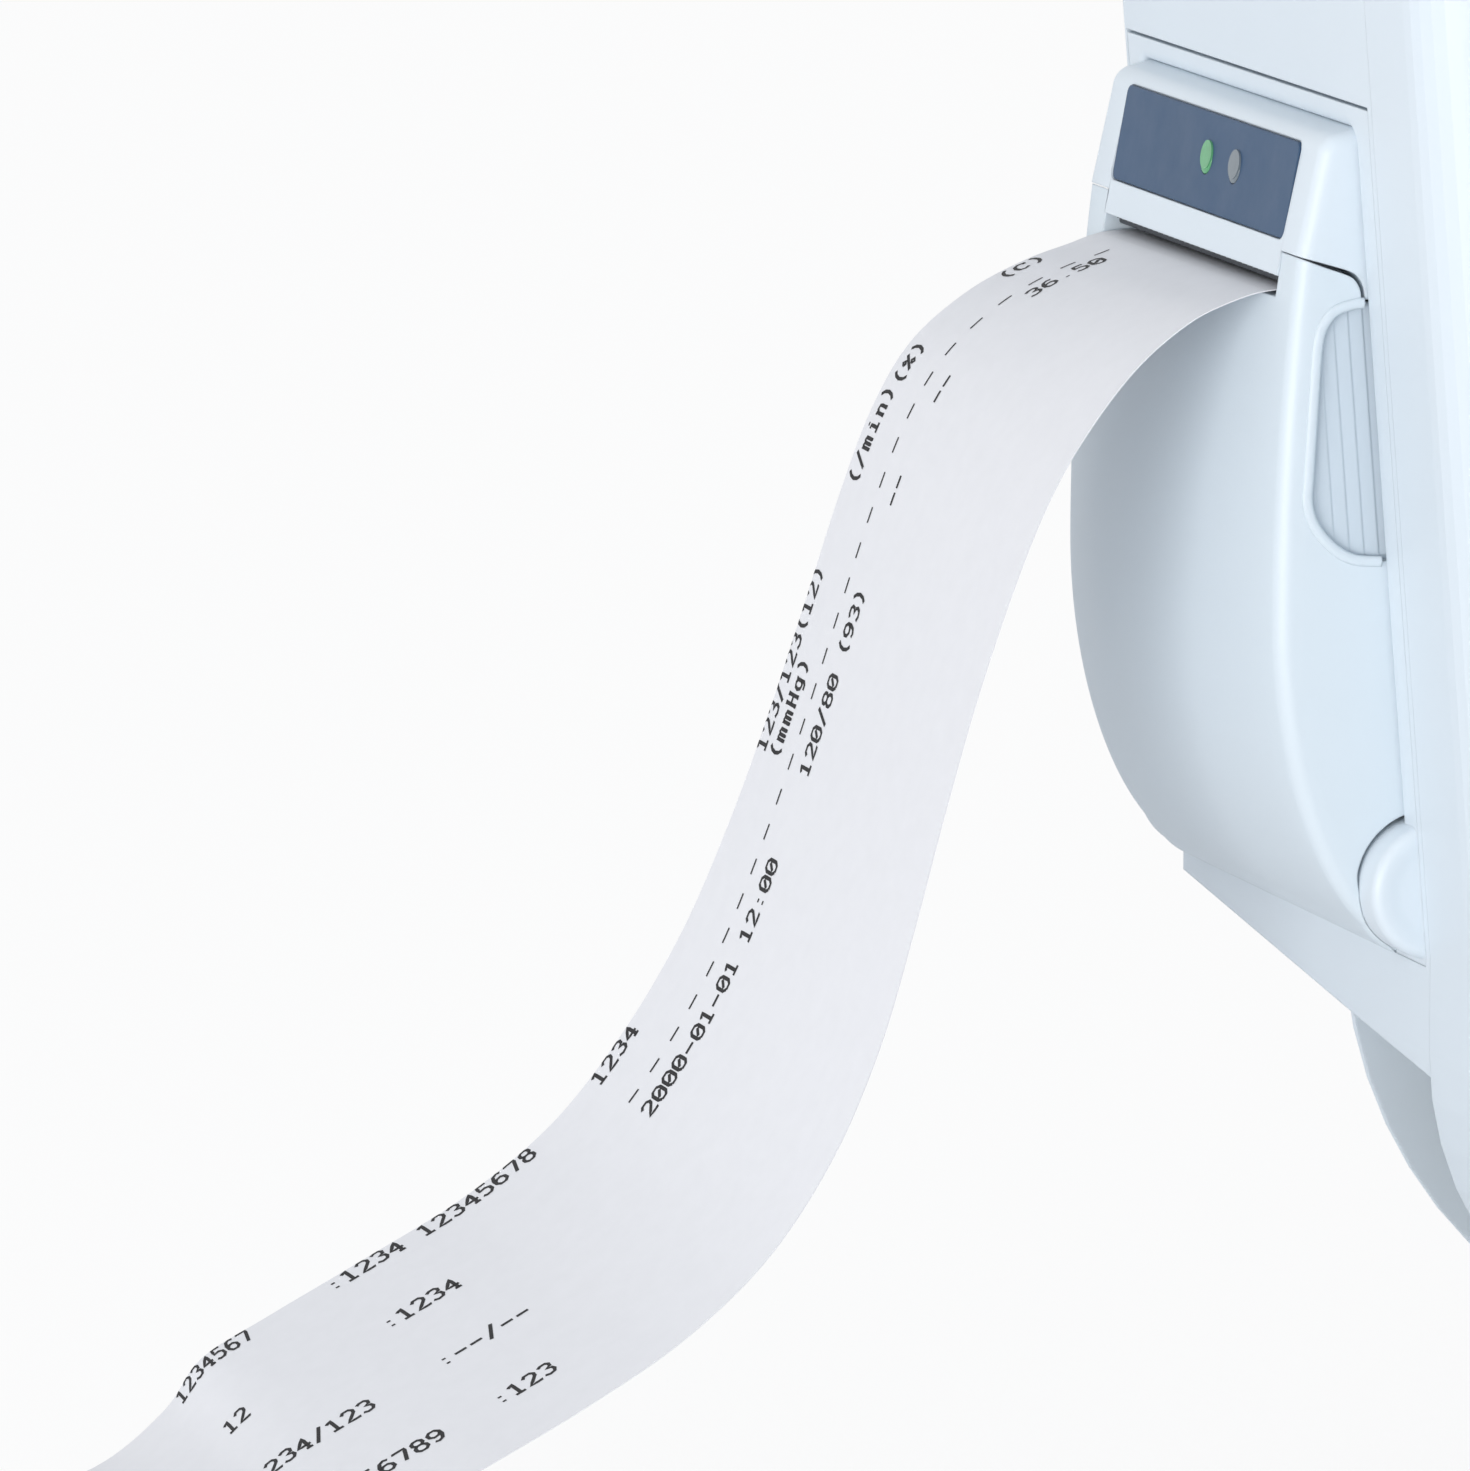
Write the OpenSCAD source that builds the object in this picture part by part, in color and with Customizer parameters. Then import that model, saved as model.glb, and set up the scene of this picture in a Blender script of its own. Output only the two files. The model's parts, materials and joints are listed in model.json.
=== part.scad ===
// Bedside vital signs monitor with a strip printer in its left side.
// Millimetres. +X is the reader's right when facing the screen, the screen faces -Y, +Z is up.
// The origin is the centre of the base pad, on the surface that the monitor stands on.

/* [Case] */
// Half the width of the case at the reference height
half_width = 104; // [102:0.5:110]
// Height at which the half width is taken
reference_z = 62; // [55:1:70]
// Outward lean of the side walls over the reference height, width gained per unit of height
flare = 0.0806; // [0.06:0.005:0.1]
// Underside of the case above the table
case_bottom = 10; // [8:1:12]
// Top of the case above the table
case_top = 222; // [214:1:240]
// Width of the two rounded lower corners seen from the front
corner_w = 53; // [48:1:58]
// Height of the two rounded lower corners
corner_h = 42; // [38:1:46]
// Radius of the two upper corners seen from the front
top_radius = 30; // [20:1:36]
// Roll of the front edge all round
front_round = 8; // [6:0.5:10]
// Y of the front face
front_y = -55; // [-60:1:-53]
// Y of the joint between the front and rear case
parting_y = -36; // [-37:0.5:-35.5]
// Wall of both cases
wall = 2.5; // [2:0.1:3]

/* [Rear case] */
// Y at which the side walls end
block_back_y = 39.6; // [39.5:0.1:42]
// Chamfer along the back edge of the side walls
block_chamfer = 2.2; // [1:0.1:2.4]
// Y at which the lower body starts to taper
taper_y = -6; // [-10:1:0]
// Radius of the lower body's corners where it starts to taper
lower_radius = 50; // [46:1:52]
// Y of the back face
back_y = 62; // [60:1:70]
// Half the width of the back face
back_half_width = 66; // [60:1:72]
// Bottom of the back face
back_bottom = 26; // [22:1:30]
// Top of the back face
back_top = 198; // [190:1:204]
// Step of the lower body inside the front case
lower_step = 1.8; // [1.2:0.1:2.2]
// Height of the side block's lower edge at the parting line
block_edge_front = 49.6; // [46:0.2:52]
// Rise of that edge per unit of depth
block_edge_rise = 0.124; // [0.1:0.004:0.14]
// Half the width of the base
base_half_width = 62; // [56:1:66]
// Half the depth of the base
base_half_depth = 35.5; // [33:0.5:35.5]

/* [Base pad] */
// Thickness of the rubber pad
pad_t = 2; // [1.5:0.1:3]
// Margin between the base edge and the pad
pad_margin = 4; // [3:0.5:6]
// Spacing of the stand inserts along X
stand_x = 75; // [70:1:80]
// Spacing of the stand inserts along Y
stand_y = 35; // [30:1:40]
// Radius of the thread in a stand insert
stand_thread_r = 2; // [1.5:0.1:2.5]

/* [Printer bay] */
// Y of the bay's near edge
bay_near = -34.8; // [-35.2:0.1:-34.4]
// Y of the bay's far edge
bay_far = 36.9; // [36.5:0.1:37.1]
// Bottom edge of the bay
bay_bottom = 60.7; // [60.2:0.1:61]
// Depth of the bay behind the foot of the side wall
bay_depth = 40; // [38:0.5:42]
// Width of the rim on the near side of the bay
near_rim = 4.1; // [3.8:0.1:4.4]
// Width of the rim on the far side of the bay
far_rim = 3.7; // [3.4:0.1:4]
// Height of the rim above the cover
top_rim = 2.6; // [2.2:0.1:2.8]

/* [Printer door] */
// Height of the hinge axis over the bottom edge of the bay
hinge_rise = 7.5; // [7.3:0.1:7.9]
// Distance of the hinge axis inside the foot of the side wall
hinge_in = 1.4; // [1:0.1:1.6]
// Radius of the round hinge ears
ear_r = 7; // [6.6:0.1:7.2]
// Radius of the hinge pins
hinge_pin_r = 1.5; // [1.3:0.05:1.7]
// Reach of the fullest part of the door beyond the foot of the side wall
belly_out = 14.35; // [14:0.05:14.8]
// Height of the fullest part of the door over the bottom edge of the bay
belly_rise = 35.3; // [34:0.1:36.5]
// Depth of the curve under the belly
door_curve = 16; // [15.5:0.1:16.5]
// Radius of the nearly flat front above the belly
door_front_r = 331; // [300:5:400]
// Bulge of the door's middle over its ends
door_crown = 4; // [2:0.5:5]
// Wall of the door
door_wall = 2; // [1.6:0.1:2.2]
// Height of the lip that the paper leaves over, over the bottom edge of the bay
lip_rise = 67.5; // [67.3:0.1:67.7]
// Height of the two arms beside the slot over the lip
arm_rise = 3; // [2.8:0.1:3.2]

/* [Printer cover] */
// Height of the cover beside the slot
cover_h = 12.9; // [12.5:0.1:13.2]
// Height of the paper slot
slot_h = 1.8; // [1.7:0.1:2]
// Reach of the cover's lower front edge beyond the foot of the side wall
cover_out = 12.6; // [12.2:0.1:13]
// Backward lean of the cover's face over its height
cover_lean = 2.4; // [2:0.1:2.8]
// Width of the printed label plate
label_w = 51.4; // [49:0.2:52]
// Height of the label plate
label_h = 9.8; // [9:0.1:10.4]
// Thickness of the label plate
label_t = 0.6; // [0.4:0.1:1]
// Radius of the two indicator lamps
lamp_r = 1.5; // [1.2:0.1:1.7]
// Distance between the two indicator lamps
lamp_pitch = 8.3; // [6:0.1:9]

/* [Paper] */
// Width of the paper
paper_w = 50; // [48:0.5:50]
// Thickness of the paper solid
paper_t = 0.2; // [0.1:0.05:0.25]
// Y of the middle of the paper path
paper_y = 1; // [0.8:0.1:1.2]
// Radius of the paper roll
roll_r = 19; // [14:0.5:19.5]
// Radius of the hole in the roll's core
core_bore_r = 4.6; // [4:0.1:5]
// Wall of the roll's core
core_wall = 1.9; // [1.5:0.1:2.5]
// Radius of the platen roller
platen_r = 4.5; // [4.2:0.1:4.5]
// Radius of the platen shaft
platen_shaft_r = 2; // [1.5:0.1:2.2]

/* [Printer gears] */
// Gear module
gear_m = 0.5; // [0.5:0.01:0.52]
// Teeth of the platen gear
platen_teeth = 22; // [20:1:22]
// Teeth of the idler
idler_teeth = 26; // [25:1:26]
// Teeth of the motor pinion
pinion_teeth = 12; // [12:1:13]
// Width of the gears
gear_w = 1.2; // [1:0.1:1.3]
// Tooth play at the pitch circle
gear_play = 0.14; // [0.1:0.02:0.2]

/* [Front panel] */
// Distance of the screen lens inside the foot of the side walls
lens_in = 15; // [13:0.5:19]
// Distance of the screen lens below the top of the case
lens_over = 16; // [14:0.5:19]
// Distance of the screen lens above the middle of the soft keys
lens_rise = 28; // [27:0.5:31]
// Thickness of the lens
lens_t = 1.2; // [1:0.1:1.5]
// Height of a soft key
key_h = 12; // [10:0.5:13]
// Distance between the edges of neighbouring soft keys
key_gap = 5.5; // [5:0.5:7]
// Height of the key row
key_z = 66; // [64:1:67]
// Distance of the knob's axis inside the foot of the right side wall
knob_in = 26; // [25:0.5:30]
// Gap between the last soft key and the knob
knob_clear = 4.5; // [3:0.5:6]
// Travel of a key
key_travel = 1.2; // [0.8:0.1:1.3]
// Radius of the round power key
power_key_r = 7; // [6:0.5:8]
// Radius of the turning knob
knob_r = 14; // [12:0.5:15]
// Length that the knob stands out of the front
knob_l = 13; // [10:0.5:15]
// Travel of the knob when pushed
knob_travel = 1; // [0.5:0.1:1.2]

/* [Carry handle] */
// Distance between the handle's legs
handle_span = 120; // [110:1:140]
// Height of the handle over the case
handle_rise = 34; // [30:1:40]
// Thickness of the handle bar
handle_bar = 14; // [12:0.5:16]
// Depth of the handle bar
handle_depth = 24; // [20:1:28]

/* [Connectors] */
// Height of the connector panel's centre
panel_z = 116; // [112:1:120]
// Height of the connector panel
panel_h = 104; // [100:1:110]
// Depth of the connector panel along Y
panel_d = 40; // [38:1:44]
// Bore of the cuff hose fitting
cuff_bore_r = 2; // [1.5:0.1:2.2]
// Outside of the cuff hose nipple
cuff_nipple_r = 3.4; // [3.2:0.1:3.6]

/* [Fits] */
// Gap between fixed parts that sit in each other
seat_gap = 0.2; // [0.15:0.05:0.3]
// Gap round parts that move
move_gap = 0.3; // [0.25:0.05:0.4]
// Running clearance of shafts, on the radius
run_gap = 0.05; // [0.03:0.01:0.08]

/* [Hidden] */
$fn = 48;

case_white = "#dfe7ed";
shade_white = "#ccd6de";
dark_grey = "#3a3f45";
label_blue = "#5f738c";
board_green = "#2f6b4a";
steel = "#b8bcc0";
brass = "#c9a75a";
rubber_grey = "#4a4d50";
paper_white = "#eceef2";

lean_angle = atan(flare);
inner_front_y = front_y + wall;

// Half width of the case at a height: upright up to the reference height, leaning out over it
function half_at(z) = half_width + flare * max(z - reference_z, 0);

function arc_points(cx, cz, r, from, to, steps = 8) = oval_points(cx, cz, r, r, from, to, steps);

function oval_points(cx, cz, rx, rz, from, to, steps) =
    [for (k = [0:steps]) let (a = from + (to - from) * k / steps) [cx + rx * cos(a), cz + rz * sin(a)]];

function mirrored(right) = concat(right, [for (k = [len(right) - 1:-1:0]) [-right[k][0], right[k][1]]]);

// Front view of the case drawn in by inset: rounded foot, upright walls up to the reference height,
// leaning walls and rounded top
function outline(inset = 0, w = corner_w, h = corner_h) =
    let (rw = w - inset, rh = h - inset, rt = max(top_radius - inset, 4), zt = case_top - inset - rt,
         xt = half_at(zt) - (inset + rt) / cos(lean_angle))
    mirrored(concat(oval_points(half_width - inset - rw, case_bottom + inset + rh, rw, rh, -90, 0, 14),
                    [[half_width - inset, reference_z]],
                    arc_points(xt, zt, rt, -lean_angle, 90)));

// Solid through a row of sections that have the same number of points
module loft(sections) {
    n = len(sections[0]);
    m = len(sections);
    polyhedron([for (s = sections) for (p = s) p],
        concat([for (k = [1:n - 2]) [0, k, k + 1]],
               [for (i = [0:m - 2], k = [0:n - 1])
                   each [[i * n + k, (i + 1) * n + k, (i + 1) * n + (k + 1) % n],
                         [i * n + k, (i + 1) * n + (k + 1) % n, i * n + (k + 1) % n]]],
               [for (k = [1:n - 2]) [(m - 1) * n, (m - 1) * n + k + 1, (m - 1) * n + k]]));
}

// Solid with the case's outline, from rows of Y and inset that run from the back to the front
module case_loft(rows) {
    loft([for (r = rows) [for (p = outline(r[1])) [p[0], r[0], p[1]]]]);
}

// Rounded rectangle about a centre
function rounded_rect(w, h, r, cx = 0, cz = 0) = concat(
    arc_points(cx + w / 2 - r, cz - h / 2 + r, r, -90, 0, 6),
    arc_points(cx + w / 2 - r, cz + h / 2 - r, r, 0, 90, 6),
    arc_points(cx - w / 2 + r, cz + h / 2 - r, r, 90, 180, 6),
    arc_points(cx - w / 2 + r, cz - h / 2 + r, r, 180, 270, 6));

// Extrudes an XZ outline from y0 to y1
module slab(y0, y1) {
    translate([0, y1, 0]) rotate([90, 0, 0]) linear_extrude(y1 - y0) children();
}

// Cylinder along Y from y0 to y1
module y_rod(x, z, r, y0, y1) {
    translate([x, y1, z]) rotate([90, 0, 0]) cylinder(r = r, h = y1 - y0);
}

// Tube along Y
module y_tube(x, z, r, bore, y0, y1) {
    difference() {
        y_rod(x, z, r, y0, y1);
        y_rod(x, z, bore, y0 - 1, y1 + 1);
    }
}

module box_between(low, high) {
    translate(low) cube(high - low);
}

// Frame of the right side wall: local X points out of the wall, at height z
module on_right_wall(z) {
    translate([half_at(z), 0, z]) rotate([0, lean_angle, 0]) children();
}

// Printer layout
bay_inner_x = bay_depth - half_width;
hinge_x = hinge_in - half_width;
hinge_z = bay_bottom + hinge_rise;
door_belly_x = -half_width - belly_out;
door_belly_z = bay_bottom + belly_rise;
lip_z = bay_bottom + lip_rise;
arm_top = lip_z + arm_rise;
cover_gap = 0.5;
cover_bottom = arm_top + cover_gap;
cover_top = cover_bottom + cover_h;
cover_bottom_x = -half_width - cover_out;
cover_top_x = cover_bottom_x + cover_lean;
cover_back_x = cover_bottom_x + 16.6;
slot_top = lip_z + slot_h;
bay_top = cover_top + cover_gap + top_rim;

// Front panel layout
key_count = 6;
knob_x = half_width - knob_in;
knob_z = key_z;
key_pitch = (2 * knob_x - knob_clear - knob_r + key_gap / 2) / (key_count - 0.5);
key_w = key_pitch - key_gap;
lens_w = 2 * (half_width - lens_in);
lens_h = case_top - lens_over - key_z - lens_rise;
lens_z = key_z + lens_rise + lens_h / 2;
key_xs = [for (k = [0:key_count - 1]) k * key_pitch - knob_x];
power_x = key_xs[0];
power_drop = 27;
power_z = key_z - power_drop;
status_r = 2;
status_pitch = 9;
status_xs = [for (k = [0:2]) power_x + 22 + status_pitch * k];
front_boss_xs = [bay_inner_x + 8, half_width - 12];
front_boss_zs = [lens_z - lens_h / 2 - 7, lens_z + lens_h / 2 + 5];
high_screw = [half_width - 10, case_top - 32];
low_screw = [half_width - 34, case_bottom + 18];
case_screw_places = [[-high_screw[0], high_screw[1]], high_screw,
                     [-low_screw[0], low_screw[1]], low_screw];
boss_r = 4.2;
front_boss_r = 3.4;
screw_r = 1.5;
screw_head_r = 3;
screw_length = 14;
cover_screw_length = 8;
well_floor_y = parting_y + 6;
recess_lip = 1.4;
lens_radius = 6;
lens_margin = 7;
window_w = lens_w - 2 * lens_margin;
window_h = lens_h - 2 * lens_margin;
speaker_in = 64;
speaker_x = half_width - speaker_in;
speaker_z = 38;
speaker_hole_pitch = 5;
lcd_w = window_w + 4;
lcd_h = window_h + 4;
lcd_t = 6;
lcd_y0 = inner_front_y + seat_gap;
plate_t = 1.2;
key_flange_y = inner_front_y + seat_gap;
key_flange_t = 1;
key_stem_end = key_flange_y + key_flange_t + 1.6;
switch_top = key_stem_end + key_travel + seat_gap;
board_y = switch_top + 1.4;
board_t = 1.6;
key_flange = 1;
key_stem_r = 2;
key_proud = 1.4;
switch_w = 6;
key_post_r = 2;
key_post_z = key_z + key_h / 2 + key_flange + key_post_r + 2 * move_gap;

module front_openings() {
    // Screen window and the seat of the lens
    slab(front_y - 1, inner_front_y + 1) polygon(rounded_rect(window_w, window_h, 3, 0, lens_z));
    slab(front_y - 1, front_y + lens_t)
        polygon(rounded_rect(lens_w + 2 * seat_gap, lens_h + 2 * seat_gap, lens_radius, 0, lens_z));
    for (x = key_xs)
        slab(front_y - 1, inner_front_y + 1)
            polygon(rounded_rect(key_w + 2 * move_gap, key_h + 2 * move_gap, 3.3, x, key_z));
    y_rod(power_x, power_z, power_key_r + move_gap, front_y - 1, inner_front_y + 1);
    y_rod(knob_x, knob_z, 4, front_y - 1, inner_front_y + 1);
    for (x = status_xs) y_rod(x, power_z, status_r + seat_gap, front_y - 1, inner_front_y + 1);
    for (i = [-3:3], j = [-1:1])
        y_rod(speaker_x + speaker_hole_pitch * i, speaker_z + speaker_hole_pitch * j, 1.1,
              front_y - 1, inner_front_y + 1);
}

// Outside of the front case, its front edge rolled over
module front_outside() {
    steps = 8;
    case_loft(concat([[parting_y, 0]],
        [for (k = [0:steps]) let (a = 90 * k / steps)
            [front_y + front_round * (1 - sin(a)), front_round * (1 - cos(a))]]));
}

module front_case() {
    color(case_white) {
        difference() {
            front_outside();
            slab(inner_front_y, front_y + 0.75 * front_round) polygon(outline(front_round - wall));
            slab(front_y + 0.7 * front_round, parting_y + 1) polygon(outline(wall + 0.6));
            front_openings();
            // Slot of the alarm light in the top
            box_between([-alarm_w / 2 - seat_gap, alarm_y0 - seat_gap, case_top - 12],
                        [alarm_w / 2 + seat_gap, alarm_y1 + seat_gap, case_top + 1]);
        }
        for (x = front_boss_xs, z = front_boss_zs)
            y_tube(x, z, front_boss_r, 1.2, inner_front_y - 0.1, parting_y);
        for (p = case_screw_places)
            y_tube(p[0], p[1], boss_r, screw_r + run_gap, inner_front_y - 0.1, parting_y - 0.2);
        // Posts that carry the key board, over the keys
        for (k = [0, 3])
            y_rod(key_xs[k] + key_pitch / 2, key_post_z, key_post_r, inner_front_y - 0.1, board_y);
    }
}

// Rear case
function back_outline(inset) =
    rounded_rect(2 * (back_half_width - inset), back_top - back_bottom - 2 * inset, 24 - inset,
                 0, (back_top + back_bottom) / 2);

module lower_body(inset, grow) {
    drawn_in = lower_step + inset;
    hull() {
        slab(parting_y - grow, parting_y) polygon(outline(drawn_in));
        slab(taper_y - 1, taper_y - inset / 2) polygon(outline(drawn_in, lower_radius, lower_radius));
        slab(back_y - inset - 0.1, back_y - inset) polygon(back_outline(inset));
    }
}

// Side block: everything over the sloped edge
module side_block(inset, grow) {
    intersection() {
        case_loft([[block_back_y - inset, inset + block_chamfer],
                   [block_back_y - inset - block_chamfer, inset], [parting_y - grow, inset]]);
        above_block_edge(inset / cos(atan(block_edge_rise)));
    }
}

module above_block_edge(up) {
    y0 = parting_y - 20;
    y1 = block_back_y + 20;
    z0 = block_edge_front + block_edge_rise * (y0 - parting_y) + up;
    z1 = block_edge_front + block_edge_rise * (y1 - parting_y) + up;
    rotate([90, 0, 90]) translate([0, 0, -150]) linear_extrude(300)
        polygon([[y0, z0], [y1, z1], [y1, 300], [y0, 300]]);
}

module base_block(inset, bottom) {
    translate([0, 0, bottom]) linear_extrude(40 - bottom)
        polygon(rounded_rect(2 * (base_half_width - inset), 2 * (base_half_depth - inset), 10));
}

module rear_outer() {
    lower_body(0, 0);
    side_block(0, 0);
    base_block(0, pad_t);
}

insert_top = pad_t + 12;
insert_r = 3.2;

module rear_case() {
    color(case_white) difference() {
        union() {
            difference() {
                rear_outer();
                lower_body(wall, 1);
                side_block(wall, 1);
                base_block(wall, pad_t + 3);
            }
            intersection() {
                rear_outer();
                union() {
                    for (p = case_screw_places) y_rod(p[0], p[1], boss_r + 1.2, parting_y, back_y);
                    for (x = [-1, 1], y = [-1, 1])
                        translate([x * stand_x / 2, y * stand_y / 2, pad_t])
                            cylinder(r = insert_r + 2, h = insert_top - pad_t + 2);
                }
            }
        }
        for (p = case_screw_places) {
            y_rod(p[0], p[1], screw_r + 0.2, parting_y - 1, back_y);
            y_rod(p[0], p[1], screw_head_r + 0.4, well_floor_y, back_y + 1);
        }
        for (x = [-1, 1], y = [-1, 1])
            translate([x * stand_x / 2, y * stand_y / 2, pad_t - 1])
                cylinder(r = insert_r, h = insert_top - pad_t + 1);
        bay_opening();
        connector_opening();
        rear_openings();
        handle_seats(seat_gap);
    }
}

// Hole of the printer bay in the left wall
module bay_opening() {
    box_between([-150, bay_near, bay_bottom], [bay_inner_x - seat_gap, bay_far, bay_top]);
}

// Connector panel opening in the right wall
module connector_opening() {
    on_right_wall(panel_z)
        box_between([-6, -panel_d / 2 - seat_gap, -panel_h / 2 - seat_gap],
                    [4, panel_d / 2 + seat_gap, panel_h / 2 + seat_gap]);
}

battery_w = 84;
battery_h = 54;
battery_z = 74;
battery_t = 22;
battery_margin = 8;
cover_screw_x = battery_w / 2 + 1;
inlet_x = bay_inner_x + 30;
inlet_z = 128;
inlet_w = 27;
inlet_h = 19;
post_x = inlet_x + 44;
post_r = 3;
vent_z = 160;
vent_pitch = 7;
vent_w = 3;
vent_h = 22;

module rear_openings() {
    // Battery door
    slab(back_y - 1.6, back_y + 1)
        polygon(rounded_rect(battery_w + battery_margin, battery_h + battery_margin, 5, 0, battery_z));
    slab(back_y - wall - 1, back_y + 1)
        polygon(rounded_rect(battery_w, battery_h, 3, 0, battery_z));
    // Power inlet and ground post
    slab(back_y - wall - 1, back_y + 1)
        polygon(rounded_rect(inlet_w + 2 * seat_gap, inlet_h + 2 * seat_gap, 3, inlet_x, inlet_z));
    y_rod(post_x, inlet_z, post_r + seat_gap, back_y - wall - 1, back_y + 1);
    // Vent slots
    for (k = [-4:4])
        slab(back_y - wall - 1, back_y + 1)
            polygon(rounded_rect(vent_w, vent_h, 1.4, vent_pitch * k, vent_z + 12));
    for (k = [-1, 1]) y_rod(k * cover_screw_x, battery_z, screw_r + run_gap, back_y - 12, back_y);
}

module base_pad() {
    color(rubber_grey) difference() {
        linear_extrude(pad_t) polygon(rounded_rect(2 * (base_half_width - pad_margin),
                                                   2 * (base_half_depth - pad_margin), 8));
        for (x = [-1, 1], y = [-1, 1])
            translate([x * stand_x / 2, y * stand_y / 2, -1]) cylinder(r = insert_r + 0.8, h = pad_t + 2);
    }
}

module stand_inserts() {
    color(brass) for (x = [-1, 1], y = [-1, 1])
        translate([x * stand_x / 2, y * stand_y / 2, pad_t]) difference() {
            cylinder(r = insert_r, h = insert_top - pad_t);
            translate([0, 0, -1]) cylinder(r = stand_thread_r, h = 11);
        }
}

module countersunk(x, z, y_head, length) {
    y_rod(x, z, screw_r, y_head - length, y_head);
    difference() {
        y_rod(x, z, screw_head_r, y_head, y_head + 2.4);
        slab(y_head + 1.2, y_head + 3) square_at(x, z, 4, 0.8);
        slab(y_head + 1.2, y_head + 3) square_at(x, z, 0.8, 4);
    }
}

module square_at(x, z, w, h) {
    translate([x, z]) square([w, h], center = true);
}

module case_screws() {
    color(steel) {
        for (p = case_screw_places) countersunk(p[0], p[1], well_floor_y, screw_length);
        for (k = [-1, 1]) countersunk(k * cover_screw_x, battery_z, back_y + 0.4, cover_screw_length);
    }
}

// Carry handle, seated in two pockets of the case top
leg_w = 16;
leg_depth = 5;
handle_outer_r = 20;
handle_inner_r = 8;

module handle_seats(gap) {
    for (s = [-1, 1])
        translate([s * handle_span / 2 - leg_w / 2 - gap, -handle_depth / 2 - gap, case_top - leg_depth])
            cube([leg_w + 2 * gap, handle_depth + 2 * gap, leg_depth + 1]);
}

module carry_handle() {
    outer = handle_span / 2 + leg_w / 2;
    z0 = case_top - leg_depth;
    z1 = case_top + handle_rise;
    r = handle_outer_r;
    q = handle_inner_r;
    color(shade_white) slab(-handle_depth / 2, handle_depth / 2)
        difference() {
            polygon(mirrored(concat([[outer, z0]], arc_points(outer - r, z1 - r, r, 0, 90))));
            polygon(mirrored(concat([[outer - leg_w, z0 - 1]],
                                    arc_points(outer - leg_w - q, z1 - handle_bar - q, q, 0, 90))));
        }
}

// Screen
module display_lens() {
    color("#15181c") slab(front_y, front_y + lens_t - 0.05)
        polygon(rounded_rect(lens_w, lens_h, lens_radius - seat_gap, 0, lens_z));
}

module lcd_module() {
    color(dark_grey) slab(lcd_y0, lcd_y0 + lcd_t) square_at(0, lens_z, lcd_w, lcd_h);
}

bracket_y = lcd_y0 + lcd_t;
bracket_frame = 50;

// Plate behind the screen, with four ears round the front bosses
module lcd_bracket() {
    plate_w = lcd_w - 8;
    plate_h = lcd_h + 4;
    ear_half = front_boss_r + 1;
    color(steel) difference() {
        slab(bracket_y, bracket_y + plate_t) {
            square_at(0, lens_z, plate_w, plate_h);
            for (x = front_boss_xs, z = front_boss_zs) {
                reach = max(x - plate_w / 2, 0);
                toward_z = z > lens_z ? -10 : 10;
                translate([x - ear_half - reach, z - ear_half + min(toward_z, 0)])
                    square([2 * ear_half + reach, 2 * ear_half + abs(toward_z)]);
            }
        }
        for (x = front_boss_xs, z = front_boss_zs)
            y_rod(x, z, front_boss_r + seat_gap, bracket_y - 1, bracket_y + 3);
        slab(bracket_y - 1, bracket_y + 3)
            square_at(0, lens_z, plate_w - bracket_frame, plate_h - bracket_frame);
    }
}

// Alarm light bar over the screen
alarm_w = 70;
alarm_h = 11;
alarm_y0 = front_y + front_round + 1;
alarm_y1 = alarm_y0 + 7;

module alarm_light() {
    color("#e8e4d8") slab(alarm_y0, alarm_y1)
        polygon(rounded_rect(alarm_w, alarm_h, 2, 0, case_top + 1.5 - alarm_h / 2));
}

module status_lamps() {
    color("#9fc7a6") for (x = status_xs) y_rod(x, power_z, status_r, front_y - 0.3, board_y);
}

// A soft key: cap, flange behind the wall and stem
module soft_key(index) {
    x = key_xs[index];
    color(shade_white) {
        slab(front_y - key_proud, key_flange_y) polygon(rounded_rect(key_w, key_h, 3, x, key_z));
        slab(key_flange_y, key_flange_y + key_flange_t)
            polygon(rounded_rect(key_w + 2 * key_flange, key_h + 2 * key_flange, 4, x, key_z));
        y_rod(x, key_z, key_stem_r, key_flange_y, key_stem_end);
    }
}

module cuff_key() soft_key(0);
module alarm_key() soft_key(1);
module record_key() soft_key(2);
module trend_key() soft_key(3);
module freeze_key() soft_key(4);
module menu_key() soft_key(5);

module power_key() {
    color("#7fa88a") {
        y_rod(power_x, power_z, power_key_r, front_y - key_proud, key_flange_y);
        y_rod(power_x, power_z, power_key_r + key_flange, key_flange_y, key_flange_y + key_flange_t);
        y_rod(power_x, power_z, key_stem_r, key_flange_y, key_stem_end);
    }
}

module key_board() {
    edge = 9;
    top = key_post_z + key_post_r;
    right = key_xs[key_count - 1] + edge;
    color(board_green) difference() {
        union() {
            slab(board_y, board_y + board_t) polygon([
                [power_x - edge, power_z - edge], [status_xs[2] + edge, power_z - edge],
                [status_xs[2] + edge, key_z - edge], [right, key_z - edge],
                [right, top], [power_x - edge, top]]);
            for (x = key_xs) slab(switch_top, board_y) square_at(x, key_z, switch_w, switch_w);
            slab(switch_top, board_y) square_at(power_x, power_z, switch_w, switch_w);
        }
        for (p = case_screw_places) y_rod(p[0], p[1], boss_r + 0.6, switch_top, board_y + board_t + 1);
    }
}

// Knob, its shaft and the encoder
encoder_front = inner_front_y + seat_gap;
encoder_w = 14;
encoder_l = 7;
shaft_r = 3;
shaft_y0 = front_y - knob_l + 2.8;
dimple_r = 11;

module encoder_body() {
    color(steel) difference() {
        slab(encoder_front, encoder_front + encoder_l) square_at(knob_x, knob_z, encoder_w, encoder_w);
        y_rod(knob_x, knob_z, shaft_r + run_gap, encoder_front - 1, encoder_front + encoder_l - 1);
    }
}

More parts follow.
